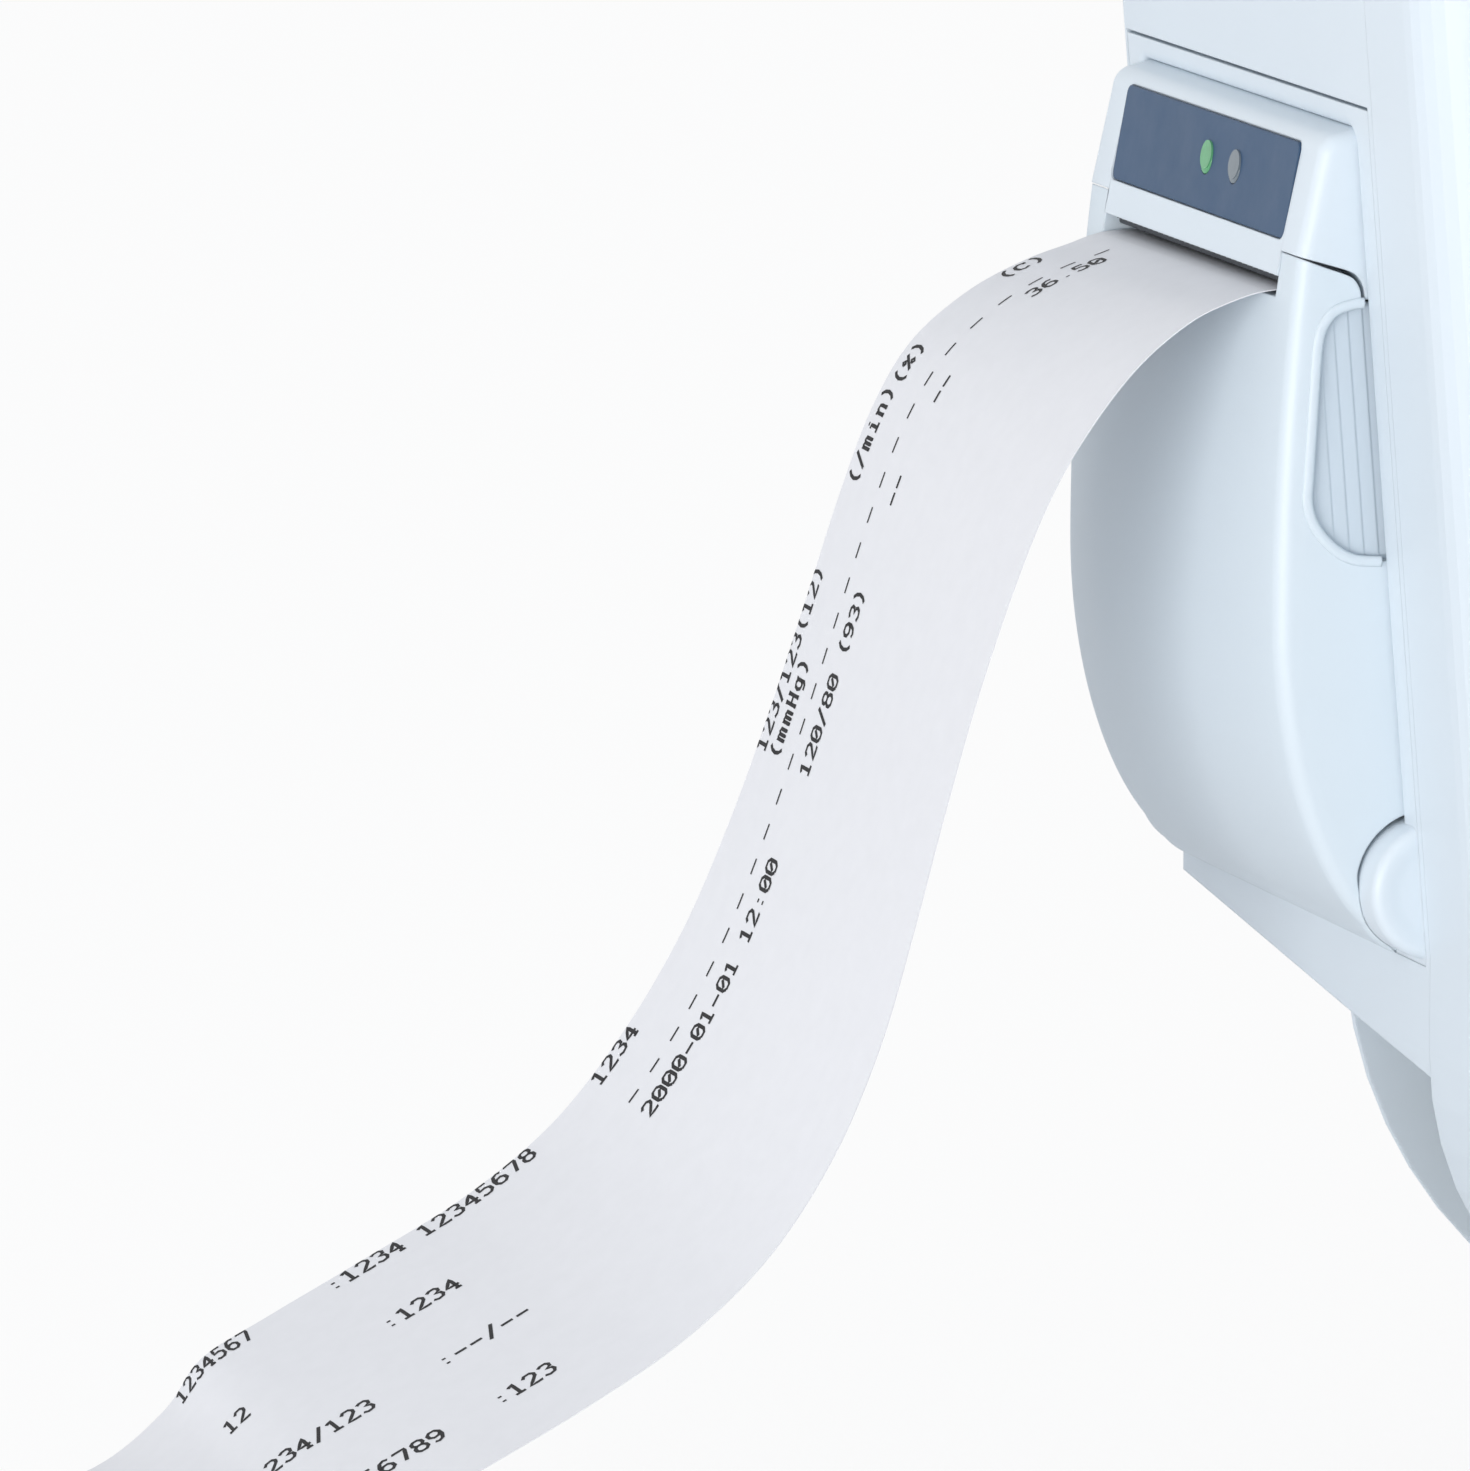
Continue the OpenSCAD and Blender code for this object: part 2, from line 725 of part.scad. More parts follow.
module encoder_shaft() {
    color(steel) difference() {
        y_rod(knob_x, knob_z, shaft_r, shaft_y0, encoder_front + encoder_l - 1.2);
        // Flat that drives the knob
        slab(front_y - knob_l, front_y - 2) square_at(knob_x, knob_z + shaft_r, 2 * shaft_r, shaft_r);
    }
}

module rotary_knob() {
    bore_y1 = front_y - knob_travel - 0.6;
    color(shade_white) difference() {
        y_rod(knob_x, knob_z, knob_r, front_y - knob_l, bore_y1);
        for (k = [0:17])
            translate([knob_x, 0, knob_z]) rotate([0, 20 * k, 0])
                y_rod(knob_r + 0.6, 0, 1.2, front_y - knob_l + 2, bore_y1 + 1);
        difference() {
            y_rod(knob_x, knob_z, shaft_r + run_gap, shaft_y0 - knob_travel - 0.4, bore_y1 + 1);
            slab(front_y - knob_l, front_y - 2 - knob_travel)
                square_at(knob_x, knob_z + shaft_r + run_gap, 2 * shaft_r + 1, shaft_r);
        }
        // Shallow finger dimple in the face
        translate([knob_x, front_y - knob_l - dimple_r + 1.8, knob_z]) sphere(r = dimple_r);
    }
}

// Inner plate with the boards
main_plate_y = parting_y;
plate_left = bay_inner_x + 6;
plate_right = front_boss_xs[1] + 4;
plate_low = front_boss_zs[0] - 6;
plate_high = front_boss_zs[1] + 4;
board_lift = 5;
main_board_y = main_plate_y + plate_t + board_lift;
board_back_y = main_board_y + board_t;
board_drop = 26;
board_high = plate_high - board_drop;
cable_hole_x = 20;
cable_hole_drop = 30;
cable_hole_w = 60;
cable_hole_h = 12;
stand_left = 8;
stand_right = 20;
stand_low = 14;
stand_high = 34;
processor_w = 26;
processor_drop = 30;
memory_w = 18;
memory_h = 12;
memory_gap = 14;
memory_drop = 26;
plug_w = 22;
plug_h = 7;
plug_in = 28;
plug_drop = 60;

module main_plate() {
    color(steel) {
        difference() {
            slab(main_plate_y, main_plate_y + plate_t)
                polygon([[plate_left, plate_low], [plate_right - 6, plate_low],
                         [plate_right, plate_high], [plate_left, plate_high]]);
            for (x = front_boss_xs, z = front_boss_zs) y_rod(x, z, 1.4, main_plate_y - 1, main_plate_y + 3);
            y_rod(high_screw[0], high_screw[1], boss_r + 1.6, main_plate_y - 1, main_plate_y + 3);
            slab(main_plate_y - 1, main_plate_y + 3)
                square_at(cable_hole_x, lens_z - cable_hole_drop, cable_hole_w, cable_hole_h);
        }
        for (x = [plate_left + stand_left, plate_right - stand_right],
             z = [plate_low + stand_low, plate_high - stand_high])
            y_rod(x, z, 2.5, main_plate_y + plate_t, main_board_y);
    }
}

module main_board() {
    color(board_green) {
        slab(main_board_y, main_board_y + board_t)
            polygon([[plate_left + 2, plate_low + 6], [plate_right - 12, plate_low + 6],
                     [plate_right - 12, board_high], [plate_left + 2, board_high]]);
        slab(board_back_y, board_back_y + 2.4)
            square_at(0, lens_z - processor_drop, processor_w, processor_w);
        slab(board_back_y, board_back_y + 1.6)
            square_at(processor_w + memory_gap, lens_z - memory_drop, memory_w, memory_h);
        slab(board_back_y, board_back_y + 5)
            square_at(plate_left + plug_in, board_high - plug_drop, plug_w, plug_h);
    }
}

supply_w = 42;
supply_h = 34;
supply_t = 8;
supply_y = back_y - wall - 18 - supply_t;

module power_supply() {
    color("#8d9297") slab(supply_y, supply_y + supply_t)
        square_at(inlet_x - 5, inlet_z + 1, supply_w, supply_h);
}

module battery_pack() {
    color("#3b5f8a") slab(back_y - 2 - battery_t, back_y - 2)
        square_at(0, battery_z, battery_w - 4, battery_h - 2);
}

module battery_cover() {
    color(case_white) difference() {
        slab(back_y - 1.6, back_y + 0.4)
            polygon(rounded_rect(battery_w + battery_margin - 2 * seat_gap,
                                 battery_h + battery_margin - 2 * seat_gap, 4.8, 0, battery_z));
        for (k = [-1, 1]) y_rod(k * cover_screw_x, battery_z, screw_r + 0.1, back_y - 3, back_y + 2);
        for (k = [-3:3])
            slab(back_y - 0.2, back_y + 1) polygon(rounded_rect(30, 1.4, 0.6, 0, battery_z + 14 + 2.6 * k));
    }
}

pump_in = 44;
pump_x = half_width - pump_in;
pump_z = 100;
pump_r = 13;
pump_l = 40;
pump_lift = 10;
pump_foot_w = 8;
pump_foot_h = 14;
valve_x = pump_x - 28;
valve_w = 18;
valve_h = 16;
valve_lift = 5;
speaker_r = 18;
magnet_r = 10;

module cuff_pump() {
    color("#33373c") {
        y_rod(pump_x, pump_z, pump_r, board_back_y + pump_lift, board_back_y + pump_lift + pump_l);
        slab(board_back_y, board_back_y + pump_lift + 1)
            square_at(pump_x - pump_foot_w, pump_z, pump_foot_w, pump_foot_h);
    }
}

module cuff_valve() {
    color(steel) {
        slab(board_back_y + valve_lift, board_back_y + valve_lift + valve_h)
            square_at(valve_x, pump_z, valve_w, valve_h);
        slab(board_back_y, board_back_y + valve_lift)
            square_at(valve_x, pump_z, valve_w - 8, valve_h - 6);
    }
}

module speaker() {
    color(dark_grey) {
        y_rod(speaker_x, speaker_z, speaker_r, inner_front_y + seat_gap, inner_front_y + 4);
        y_rod(speaker_x, speaker_z, magnet_r, inner_front_y + 4, inner_front_y + 10);
    }
}

// Connector side
panel_t = 2;
panel_border = 2;
socket_zs = [34, 8, -16, -38];
socket_r = 8;
port_r = 4.6;
jack_r = 3.4;
jack_ys = [-9, 9];

module connector_panel() {
    color(shade_white) on_right_wall(panel_z) difference() {
        union() {
            box_between([-panel_t - 1, -panel_d / 2, -panel_h / 2], [-1, panel_d / 2, panel_h / 2]);
            difference() {
                box_between([-1, -panel_d / 2, -panel_h / 2], [0.2, panel_d / 2, panel_h / 2]);
                box_between([-2, panel_border - panel_d / 2, panel_border - panel_h / 2],
                            [1, panel_d / 2 - panel_border, panel_h / 2 - panel_border]);
            }
        }
        wall_rod(0, socket_zs[0], port_r + seat_gap, -8, 4);
        for (k = [1, 3]) wall_rod(0, socket_zs[k], socket_r + seat_gap, -8, 4);
        for (y = jack_ys) wall_rod(y, socket_zs[2], jack_r + seat_gap, -8, 4);
    }
}

// Cylinder along the local X of the right wall
module wall_rod(y, z, r, x0, x1) {
    translate([x0, y, z]) rotate([0, 90, 0]) cylinder(r = r, h = x1 - x0);
}

module wall_tube(y, z, r, bore, x0, x1) {
    difference() {
        wall_rod(y, z, r, x0, x1);
        wall_rod(y, z, bore, x0 - 1, x1 + 1);
    }
}

module cuff_port() {
    color(steel) on_right_wall(panel_z) {
        wall_tube(0, socket_zs[0], port_r, cuff_bore_r, -6, -1);
        wall_tube(0, socket_zs[0], port_r + 2.4, cuff_bore_r, -1, 1.2);
        wall_tube(0, socket_zs[0], cuff_nipple_r, cuff_bore_r, 1.2, 11);
        wall_tube(0, socket_zs[0], cuff_nipple_r + 0.6, cuff_bore_r, 8, 10);
    }
}

// Round socket: shell, insulator and pins in a ring
module round_socket(y, z, r, pins) {
    wall_tube(y, z, r, r - 1.2, -9, 3);
    wall_tube(y, z, r + 1.6, r - 1.2, -1, 0.6);
    difference() {
        wall_rod(y, z, r - 1.2, -9, -3);
        for (k = [0:pins - 1])
            wall_rod(y + 0.55 * r * cos(360 * k / pins), z + 0.55 * r * sin(360 * k / pins), 0.5, -7, -2);
    }
}

module oxygen_socket() {
    color("#2e5f93") on_right_wall(panel_z) round_socket(0, socket_zs[1], socket_r, 7);
}

module ecg_socket() {
    color("#3f7f57") on_right_wall(panel_z) round_socket(0, socket_zs[3], socket_r, 9);
}

module temperature_sockets() {
    color(dark_grey) on_right_wall(panel_z) for (y = jack_ys) {
        wall_tube(y, socket_zs[2], jack_r, jack_r - 1.6, -9, 1.5);
        wall_tube(y, socket_zs[2], jack_r + 1.2, jack_r - 1.6, -1, 0.6);
    }
}

// Rear fittings
module power_inlet() {
    color(dark_grey) {
        difference() {
            union() {
                slab(supply_y + supply_t, back_y + 0.1)
                    polygon(rounded_rect(inlet_w, inlet_h, 3, inlet_x, inlet_z));
                slab(back_y, back_y + 1.6)
                    polygon(rounded_rect(inlet_w + 4, inlet_h + 4, 3, inlet_x, inlet_z));
            }
            slab(back_y - 15, back_y + 3)
                polygon(rounded_rect(inlet_w - 3, inlet_h - 3, 4, inlet_x, inlet_z));
        }
        for (p = [[-7, -2], [7, -2], [0, 3]])
            slab(back_y - 16, back_y - 3) square_at(inlet_x + p[0], inlet_z + p[1], 2, 4);
    }
}

module ground_post() {
    color(brass) {
        y_rod(post_x, inlet_z, post_r, back_y - wall - 4, back_y + 12);
        slab(back_y, back_y + 2) circle_at(post_x, inlet_z, post_r + 2.5, 6);
        slab(back_y - wall - 3, back_y - wall) circle_at(post_x, inlet_z, post_r + 2.5, 6);
    }
}

module circle_at(x, z, r, sides) {
    translate([x, z]) circle(r = r, $fn = sides);
}

// Printer frame: rim, bay box and hinge ears
frame_near = bay_near + seat_gap;
frame_far = bay_far - seat_gap;
frame_bottom = bay_bottom + seat_gap;
frame_top = bay_top - 1.5 * seat_gap;
inside_near = bay_near + near_rim;
inside_far = bay_far - far_rim;
inside_top = bay_top - top_rim;
floor_x = hinge_x + ear_r + 1.8;
platen_x = -half_width - 4;
platen_z = lip_z - door_wall - seat_gap - platen_r;
idler_x = platen_x + gear_m * (platen_teeth + idler_teeth) / 2;
pinion_x = idler_x + gear_m * (idler_teeth + pinion_teeth) / 2;
roll_x = 10 - half_width;
roll_z = bay_bottom + 29.8;
spindle_r = core_bore_r - run_gap;

// Left side wall outline in XZ between two heights, out to off beyond the wall
module left_wall_polygon(z0, z1, x_in, off = 0) {
    polygon([[-half_at(z0) - off, z0], [x_in, z0], [x_in, z1], [-half_at(z1) - off, z1]]);
}

module printer_frame() {
    color(case_white) difference() {
        union() {
            difference() {
                slab(frame_near, frame_far) left_wall_polygon(frame_bottom, frame_top, bay_inner_x);
                slab(inside_near, inside_far)
                    left_wall_polygon(frame_bottom + 1.6, inside_top, bay_inner_x - 2, 20);
                slab(inside_near, inside_far)
                    left_wall_polygon(frame_bottom - 1, frame_bottom + 5, floor_x, 20);
            }
            // Hinge ears, inside the rim
            y_rod(hinge_x, hinge_z, ear_r, inside_near - 0.3, inside_near + 4.3);
            y_rod(hinge_x, hinge_z, ear_r, inside_far - 4.3, inside_far + 0.3);
            // Posts of the idler and of the roll spindle
            y_rod(idler_x, platen_z, 1.5, gear_y0 - 0.6, inside_far + 0.5);
            y_rod(roll_x, roll_z, 6.5, inside_near - 0.5, spindle_near);
            y_rod(roll_x, roll_z, 6.5, spindle_far, inside_far + 0.5);
        }
        y_rod(hinge_x, hinge_z, hinge_pin_r, inside_near - 1.5, inside_near + 5);
        y_rod(hinge_x, hinge_z, hinge_pin_r, inside_far - 5, inside_far + 1.5);
        // Open notches that the spindle drops into
        for (y = [[inside_near, spindle_near + 1], [spindle_far - 1, inside_far]])
            slab(y[0], y[1]) {
                translate([roll_x, roll_z]) circle(r = spindle_r);
                translate([roll_x - spindle_r, roll_z]) square([2 * spindle_r, 10]);
            }
    }
}

spindle_near = paper_y - paper_w / 2 - 1.2;
spindle_far = paper_y + paper_w / 2 + 1.2;

module roll_spindle() {
    color("#e6e6e2") y_rod(roll_x, roll_z, spindle_r - 0.02, inside_near + 0.1, inside_far - 0.1);
}

module paper_core() {
    color("#d9d2c4") y_tube(roll_x, roll_z, core_bore_r + core_wall, core_bore_r,
                            paper_y - paper_w / 2, paper_y + paper_w / 2);
}

module paper_roll() {
    color(paper_white) y_tube(roll_x, roll_z, roll_r, core_bore_r + core_wall,
                              paper_y - paper_w / 2, paper_y + paper_w / 2);
}

// Printer cover
cover_near = inside_near + seat_gap;
cover_far = inside_far - seat_gap;
slot_near = paper_y - label_w / 2;
slot_far = paper_y + label_w / 2;
face_tilt = atan((cover_top_x - cover_bottom_x) / (cover_top - cover_bottom));
face_mid = [(cover_top_x + cover_bottom_x) / 2, (cover_top + cover_bottom) / 2];

// Frame of the tilted cover face: local -X points out of the face
module on_cover_face() {
    translate([face_mid[0], paper_y, face_mid[1]]) rotate([0, face_tilt, 0]) children();
}

module printer_cover() {
    corner = 1.4;
    color(case_white) difference() {
        union() {
            slab(cover_near, cover_far)
                polygon(concat([[cover_bottom_x, cover_bottom]],
                               arc_points(cover_top_x + corner, cover_top - corner, corner, 180, 90, 5),
                               [[cover_back_x, cover_top], [cover_back_x, cover_bottom]]));
            slab(slot_near, slot_far)
                polygon([[cover_bottom_x - 0.3, slot_top], [cover_back_x, slot_top],
                         [cover_back_x, cover_bottom + 1], [cover_bottom_x, cover_bottom + 1]]);
        }
        slab(cover_near + 2, cover_far - 2)
            polygon([[cover_bottom_x + 2.6, cover_bottom + 1.2], [cover_top_x + 2.6, cover_top - 2],
                     [cover_back_x + 1, cover_top - 2], [cover_back_x + 1, cover_bottom + 1.2]]);
        on_cover_face() {
            translate([-1, -label_w / 2 - 0.1, label_low - 0.1])
                cube([1 + label_t + 0.1, label_w + 0.2, label_h + 0.2]);
            for (y = lamp_ys) cover_rod(y, lamp_r + 0.1, -2, 6);
        }
    }
}

label_low = -label_h / 2 + 0.45;
lamp_ys = [-0.6, -0.6 - lamp_pitch];
lamp_rise = 0.9;
guide_l = 12;

module cover_rod(y, r, x0, x1) {
    translate([x0, y, lamp_rise]) rotate([0, 90, 0]) cylinder(r = r, h = x1 - x0);
}

module label_plate() {
    color(label_blue) on_cover_face() difference() {
        translate([0.1, -label_w / 2, label_low]) cube([label_t, label_w, label_h]);
        for (y = lamp_ys) cover_rod(y, lamp_r + 0.05, -2, 6);
    }
}

// Light guide from the label back to the printer board
module light_guide(y) {
    on_cover_face() cover_rod(y, lamp_r, 0, guide_l);
}

module power_lamp() {
    color("#9fd8a0") light_guide(lamp_ys[0]);
}

module fault_lamp() {
    color("#9aa4ab") light_guide(lamp_ys[1]);
}

board_low_z = slot_top + 4.6;
printer_board_x = cover_back_x - 0.4;
printer_board_w = 28.4;
printer_board_l = 42;
lamp_block_l = 19;

module printer_board() {
    color(board_green) translate([printer_board_x, paper_y, board_low_z]) {
        box_between([0, -printer_board_l / 2, 0], [printer_board_w, printer_board_l / 2, board_t]);
        box_between([-2.6, -lamp_block_l / 2 - 5.5, board_t], [2.4, lamp_block_l / 2 - 5.5, board_t + 5]);
    }
}

// Tear bar with saw teeth, under the cover's lip
module tear_bar() {
    teeth = 32;
    pitch = (slot_far - slot_near - 1) / teeth;
    x0 = cover_bottom_x + 0.7;
    color(steel) translate([0, slot_near + 0.5, slot_top - 0.5]) linear_extrude(0.45)
        polygon(concat([[x0 + 7, 0]],
            [for (k = [0:teeth - 1], p = [[0.6, 0], [0, 0.5]]) [x0 + p[0], (k + p[1]) * pitch]],
            [[x0 + 0.6, teeth * pitch], [x0 + 7, teeth * pitch]]));
}

// Printer door
door_near = inside_near + seat_gap + 0.1;
door_far = inside_far - seat_gap - 0.1;
door_mid = (door_near + door_far) / 2;
door_half = (door_far - door_near) / 2;
door_low_z = hinge_z - ear_r + 0.1;
door_in_x = 2.1 - half_width;
belly_drop = door_belly_z - door_low_z;

// Outer profile of the door from its top down, drawn in by inset, with the crown share at each point
function door_profile(inset) = concat(
    [for (k = [0:5]) let (z = arm_top - (arm_top - door_belly_z) * k / 6)
        [door_belly_x + inset + pow(z - door_belly_z, 2) / (2 * door_front_r), z,
         1 - pow((z - door_belly_z) / (arm_top - door_belly_z), 2)]],
    [for (k = [0:10]) let (a = 9 * k)
        [door_belly_x + door_curve - (door_curve - inset) * cos(a),
         door_belly_z - (belly_drop - inset) * sin(a), pow(cos(a), 3)]]);

function door_section(y) =
    let (t = (y - door_mid) / door_half, bulge = door_crown * (1 - t * t))
    concat([[door_in_x, y, arm_top]],
           [for (p = door_profile(0)) [p[0] - bulge * p[2], y, p[1]]],
           [[door_in_x, y, door_low_z]]);

module door_outside() {
    steps = 6;
    hull() loft([for (k = [0:steps]) door_section(door_near + (door_far - door_near) * k / steps)]);
}

// Hollow of the door, straight from end to end and open to the bay
door_end_wall = 1.6;

module door_inside() {
    slab(door_near + door_end_wall, door_far - door_end_wall)
        polygon(concat([[door_in_x + 5, arm_top - door_wall]],
                       [for (p = door_profile(door_wall)) [p[0], min(p[1], arm_top - door_wall)]],
                       [[door_in_x + 5, door_low_z + door_wall]]));
}

bracket_near = paper_y - paper_w / 2 - 2.4;
bracket_far = paper_y + paper_w / 2 + 2.4;
bracket_t = 1.8;
gear_y0 = bracket_far + bracket_t / 2 + 0.4;
bush_r = 3.2;
lug_near = paper_y - paper_w / 2 - 0.3;
lug_far = paper_y + paper_w / 2 + 0.3;
grip_top = lip_z - 1.2;
grip_low = grip_top - 24.5;
grip_x = platen_x - 0.2;
grip_reach = 6.6;

module printer_door() {
    color(shade_white) difference() {
        union() {
            difference() {
                door_outside();
                door_inside();
            }
            // Lip over the platen
            box_between([platen_x - 8, bracket_near - bracket_t / 2, lip_z - door_wall],
                        [platen_x + platen_r - 1, bracket_far + bracket_t / 2, lip_z]);
            // Brackets of the platen bushes
            for (y = [bracket_near, bracket_far])
                box_between([platen_x - 8.5, y - bracket_t / 2, platen_z - 5],
                            [platen_x + 4, y + bracket_t / 2, lip_z - 1]);
            // Hinge lugs beside the ears
            for (y = [[inside_near + 4.6, lug_near], [lug_far, inside_far - 4.6]]) {
                y_rod(hinge_x, hinge_z, 4.5, y[0], y[1]);
                slab(y[0], y[1])
                    polygon([[hinge_x - 3.6, hinge_z - 2.6], [hinge_x + 1, hinge_z + 4],
                             [hinge_x - 8, hinge_z + 16], [hinge_x - 13.4, hinge_z + 12]]);
            }
        }
        // Room for the slot between the arms
        box_between([-130, slot_near - move_gap, lip_z], [-90, slot_far + move_gap, arm_top + 3]);
        // Round cut-outs about the hinge ears
        for (y = [[door_near - 1, inside_near + 4.6], [inside_far - 4.6, door_far + 1]]) {
            y_rod(hinge_x, hinge_z, ear_r + 0.45, y[0], y[1]);
            slab(y[0], y[1]) translate([hinge_x - ear_r - 0.45, hinge_z - 30]) square([30, 30]);
        }
        for (y = [inside_near + 4, inside_far - 10])
            y_rod(hinge_x, hinge_z, hinge_pin_r + run_gap, y, y + 6);
        for (y = [bracket_near, bracket_far])
            y_rod(platen_x, platen_z, bush_r, y - bracket_t, y + bracket_t);
        // Half-moon finger grips in both ends, with upright ribs left standing
        for (y = [door_near, door_far]) grip_hollow(y);
    }
}

// Hollow with ribs, 0.8 deep, about the outer face of a door end
module grip_hollow(y) {
    deep = 0.8;
    zc = (grip_top + grip_low) / 2;
    difference() {
        slab(y - deep, y + deep) polygon([for (k = [0:24])
            [grip_x - grip_reach * sin(7.5 * k), zc + (grip_top - grip_low) / 2 * cos(7.5 * k)]]);
        for (k = [0:3])
            slab(y - deep - 1, y + deep + 1)
                translate([grip_x - 5.6 + 1.6 * k, grip_low]) square([0.8, grip_top - grip_low]);
    }
}

module hinge_pins() {
    color(steel) {
        y_rod(hinge_x, hinge_z, hinge_pin_r, inside_near - 1.4, inside_near + 9);
        y_rod(hinge_x, hinge_z, hinge_pin_r, inside_far - 9, inside_far + 1.4);
    }
}

// Platen
module platen_shaft() {
    color(steel) y_rod(platen_x, platen_z, platen_shaft_r, bracket_near - bracket_t / 2 - 0.4,
                       gear_y0 + gear_w);
}

module platen_roller() {
    color("#2b2d30") y_tube(platen_x, platen_z, platen_r, platen_shaft_r,
                            paper_y - paper_w / 2 - 0.8, paper_y + paper_w / 2 + 0.8);
}

module platen_bushes() {
    color(brass) for (y = [bracket_near, bracket_far])
        y_tube(platen_x, platen_z, bush_r, platen_shaft_r + run_gap, y - bracket_t / 2, y + bracket_t / 2);
}

// Involute spur gear, tooth centred on +X, thinned by the play
function involute(base, t) =
    let (arc = t * PI / 180) [base * (cos(t) + arc * sin(t)), base * (sin(t) - arc * cos(t))];
function spin(p, a) = [p[0] * cos(a) - p[1] * sin(a), p[0] * sin(a) + p[1] * cos(a)];

function gear_points(teeth) =
    let (pitch_r = gear_m * teeth / 2, base = pitch_r * cos(20), tip = pitch_r + gear_m * 0.9,
         root = pitch_r - gear_m * 1.2, t_tip = sqrt(pow(tip / base, 2) - 1) * 180 / PI,
         inv20 = (tan(20) - 20 * PI / 180) * 180 / PI,
         half = 90 / teeth - gear_play / pitch_r * 45 / PI + inv20,
         flank = [for (k = [0:4]) spin(involute(base, t_tip * k / 4), -half)])
    [for (i = [0:teeth - 1]) each concat(
        [spin([root, 0], 360 * i / teeth - half - 1)],
        [for (p = flank) spin(p, 360 * i / teeth)],
        [for (k = [4:-1:0]) spin([flank[k][0], -flank[k][1]], 360 * i / teeth)],
        [spin([root, 0], 360 * i / teeth + half + 1)])];

module gear(x, teeth, turn) {
    translate([x, gear_y0 + gear_w, platen_z]) rotate([90, 0, 0]) rotate([0, 0, turn])
        linear_extrude(gear_w) polygon(gear_points(teeth));
}

module platen_gear() {
    color("#e9e5d6") difference() {
        gear(platen_x, platen_teeth, 0);
        y_rod(platen_x, platen_z, platen_shaft_r, gear_y0 - 1, gear_y0 + gear_w + 1);
    }
}

module idler_gear() {
    color("#e9e5d6") difference() {
        gear(idler_x, idler_teeth, 180 + 180 / idler_teeth);
        y_rod(idler_x, platen_z, 1.5 + run_gap, gear_y0 - 1, gear_y0 + gear_w + 1);
    }
}

// The pinion meets the idler on the far side of it
idler_phase = 180 + 180 / idler_teeth;
pinion_phase = 180 + 180 / pinion_teeth + idler_phase * idler_teeth / pinion_teeth;

module motor_pinion() {
    color(steel) {
        gear(pinion_x, pinion_teeth, pinion_phase);
        y_rod(pinion_x, platen_z, 1, motor_y1 - 8, gear_y0 + gear_w / 2);
    }
}

motor_y1 = bracket_far - 4.4;
motor_r = 10;
motor_l = 16;

module stepper_motor() {
    color("#9ea3a8") difference() {
        y_rod(pinion_x, platen_z, motor_r, motor_y1 - motor_l, motor_y1);
        y_rod(pinion_x, platen_z, 1 + run_gap, motor_y1 - 9, motor_y1 + 1);
    }
}

head_x = platen_x + platen_r + 0.8;
head_w = 51;
head_t = 1.2;
chassis_y0 = paper_y - paper_w / 2 - 2;
chassis_low = roll_z + roll_r + 1;

module thermal_head() {
    color("#c9c6bd") box_between([head_x, paper_y - head_w / 2, platen_z - 10],
                                 [head_x + head_t, paper_y + head_w / 2, platen_z + 5]);
    color(steel) box_between([head_x + head_t, paper_y - head_w / 2, platen_z - 9],
                             [head_x + 3, paper_y + head_w / 2, platen_z + 4]);
}

module printer_chassis() {
    x0 = head_x + 3;
    x1 = bay_inner_x - 2;
    color(steel) {
        box_between([x0, chassis_y0, chassis_low], [x0 + 1, paper_y + head_w / 2, platen_z + 6]);
        for (y = [chassis_y0, motor_y1])
            difference() {
                box_between([x0, y, chassis_low], [x1, y + 1, board_low_z]);
                y_rod(pinion_x, platen_z, 1.6, y - 1, y + 2);
            }
    }
}

// Paper strip
// Each row, from the roll to the free end: far edge x and z, then near edge x and z, with x from
// the foot of the side wall and z above the table when the lip is at strip_lip_z
strip_lip_z = 128.2;
strip_path = [
    [-9.1, 93.2, -9.1, 93.2], [-7.9, 97.8, -7.9, 97.8], [-3.6, 108.4, -3.6, 108.4],
    [0.8, 119, 0.8, 119], [0.9, 123, 0.9, 123], [0.8, 126.4, 0.8, 126.4], [-0.2, 128.4, -0.2, 128.4],
    [-3, 128.5, -3, 128.5], [-8, 128.4, -8, 128.4], [-13.2, 128.35, -13.2, 128.35],
    [-17, 127.6, -17, 127.4], [-22, 125.9, -21.6, 125.4], [-28, 122.8, -27, 121.2],
    [-34, 117.6, -32, 115.2], [-38.2, 111, -36.2, 108.4], [-41.8, 102, -40, 99.6],
    [-45.6, 90.7, -44, 88.2], [-49.5, 79.4, -47.4, 76.7], [-53.8, 68.2, -50.6, 65.1],
    [-58.8, 57.3, -54.1, 53.7], [-65.1, 47.2, -59, 42.8], [-72.8, 38, -65.8, 33],
    [-82.3, 30.8, -74.6, 25.2], [-92.8, 25.1, -84.8, 19], [-103.4, 19.6, -95.6, 13.4],
    [-110.6, 15.6, -105.4, 8.4], [-114.6, 10.4, -115.4, 4.4], [-122, 5, -126.4, 1.6],
    [-133, 2, -138, 0.6], [-145, 0.7, -149, 0.5]];
strip_rows = [for (r = strip_path) let (fall = lip_z / strip_lip_z)
    [r[0] - half_width, r[1] * fall, r[2] - half_width, r[3] * fall]];

function strip_normal(i, c) =
    let (a = strip_rows[max(i - 1, 0)], b = strip_rows[min(i + 1, len(strip_rows) - 1)],
         d = [b[c] - a[c], b[c + 1] - a[c + 1]]) [-d[1], d[0]] / norm(d);

function strip_ring(i) =
    let (r = strip_rows[i], f = strip_normal(i, 0) * paper_t / 2, n = strip_normal(i, 2) * paper_t / 2,
         y1 = paper_y + paper_w / 2, y0 = paper_y - paper_w / 2)
    [[r[0] + f[0], y1, r[1] + f[1]], [r[0] - f[0], y1, r[1] - f[1]],
     [r[2] - n[0], y0, r[3] - n[1]], [r[2] + n[0], y0, r[3] + n[1]]];

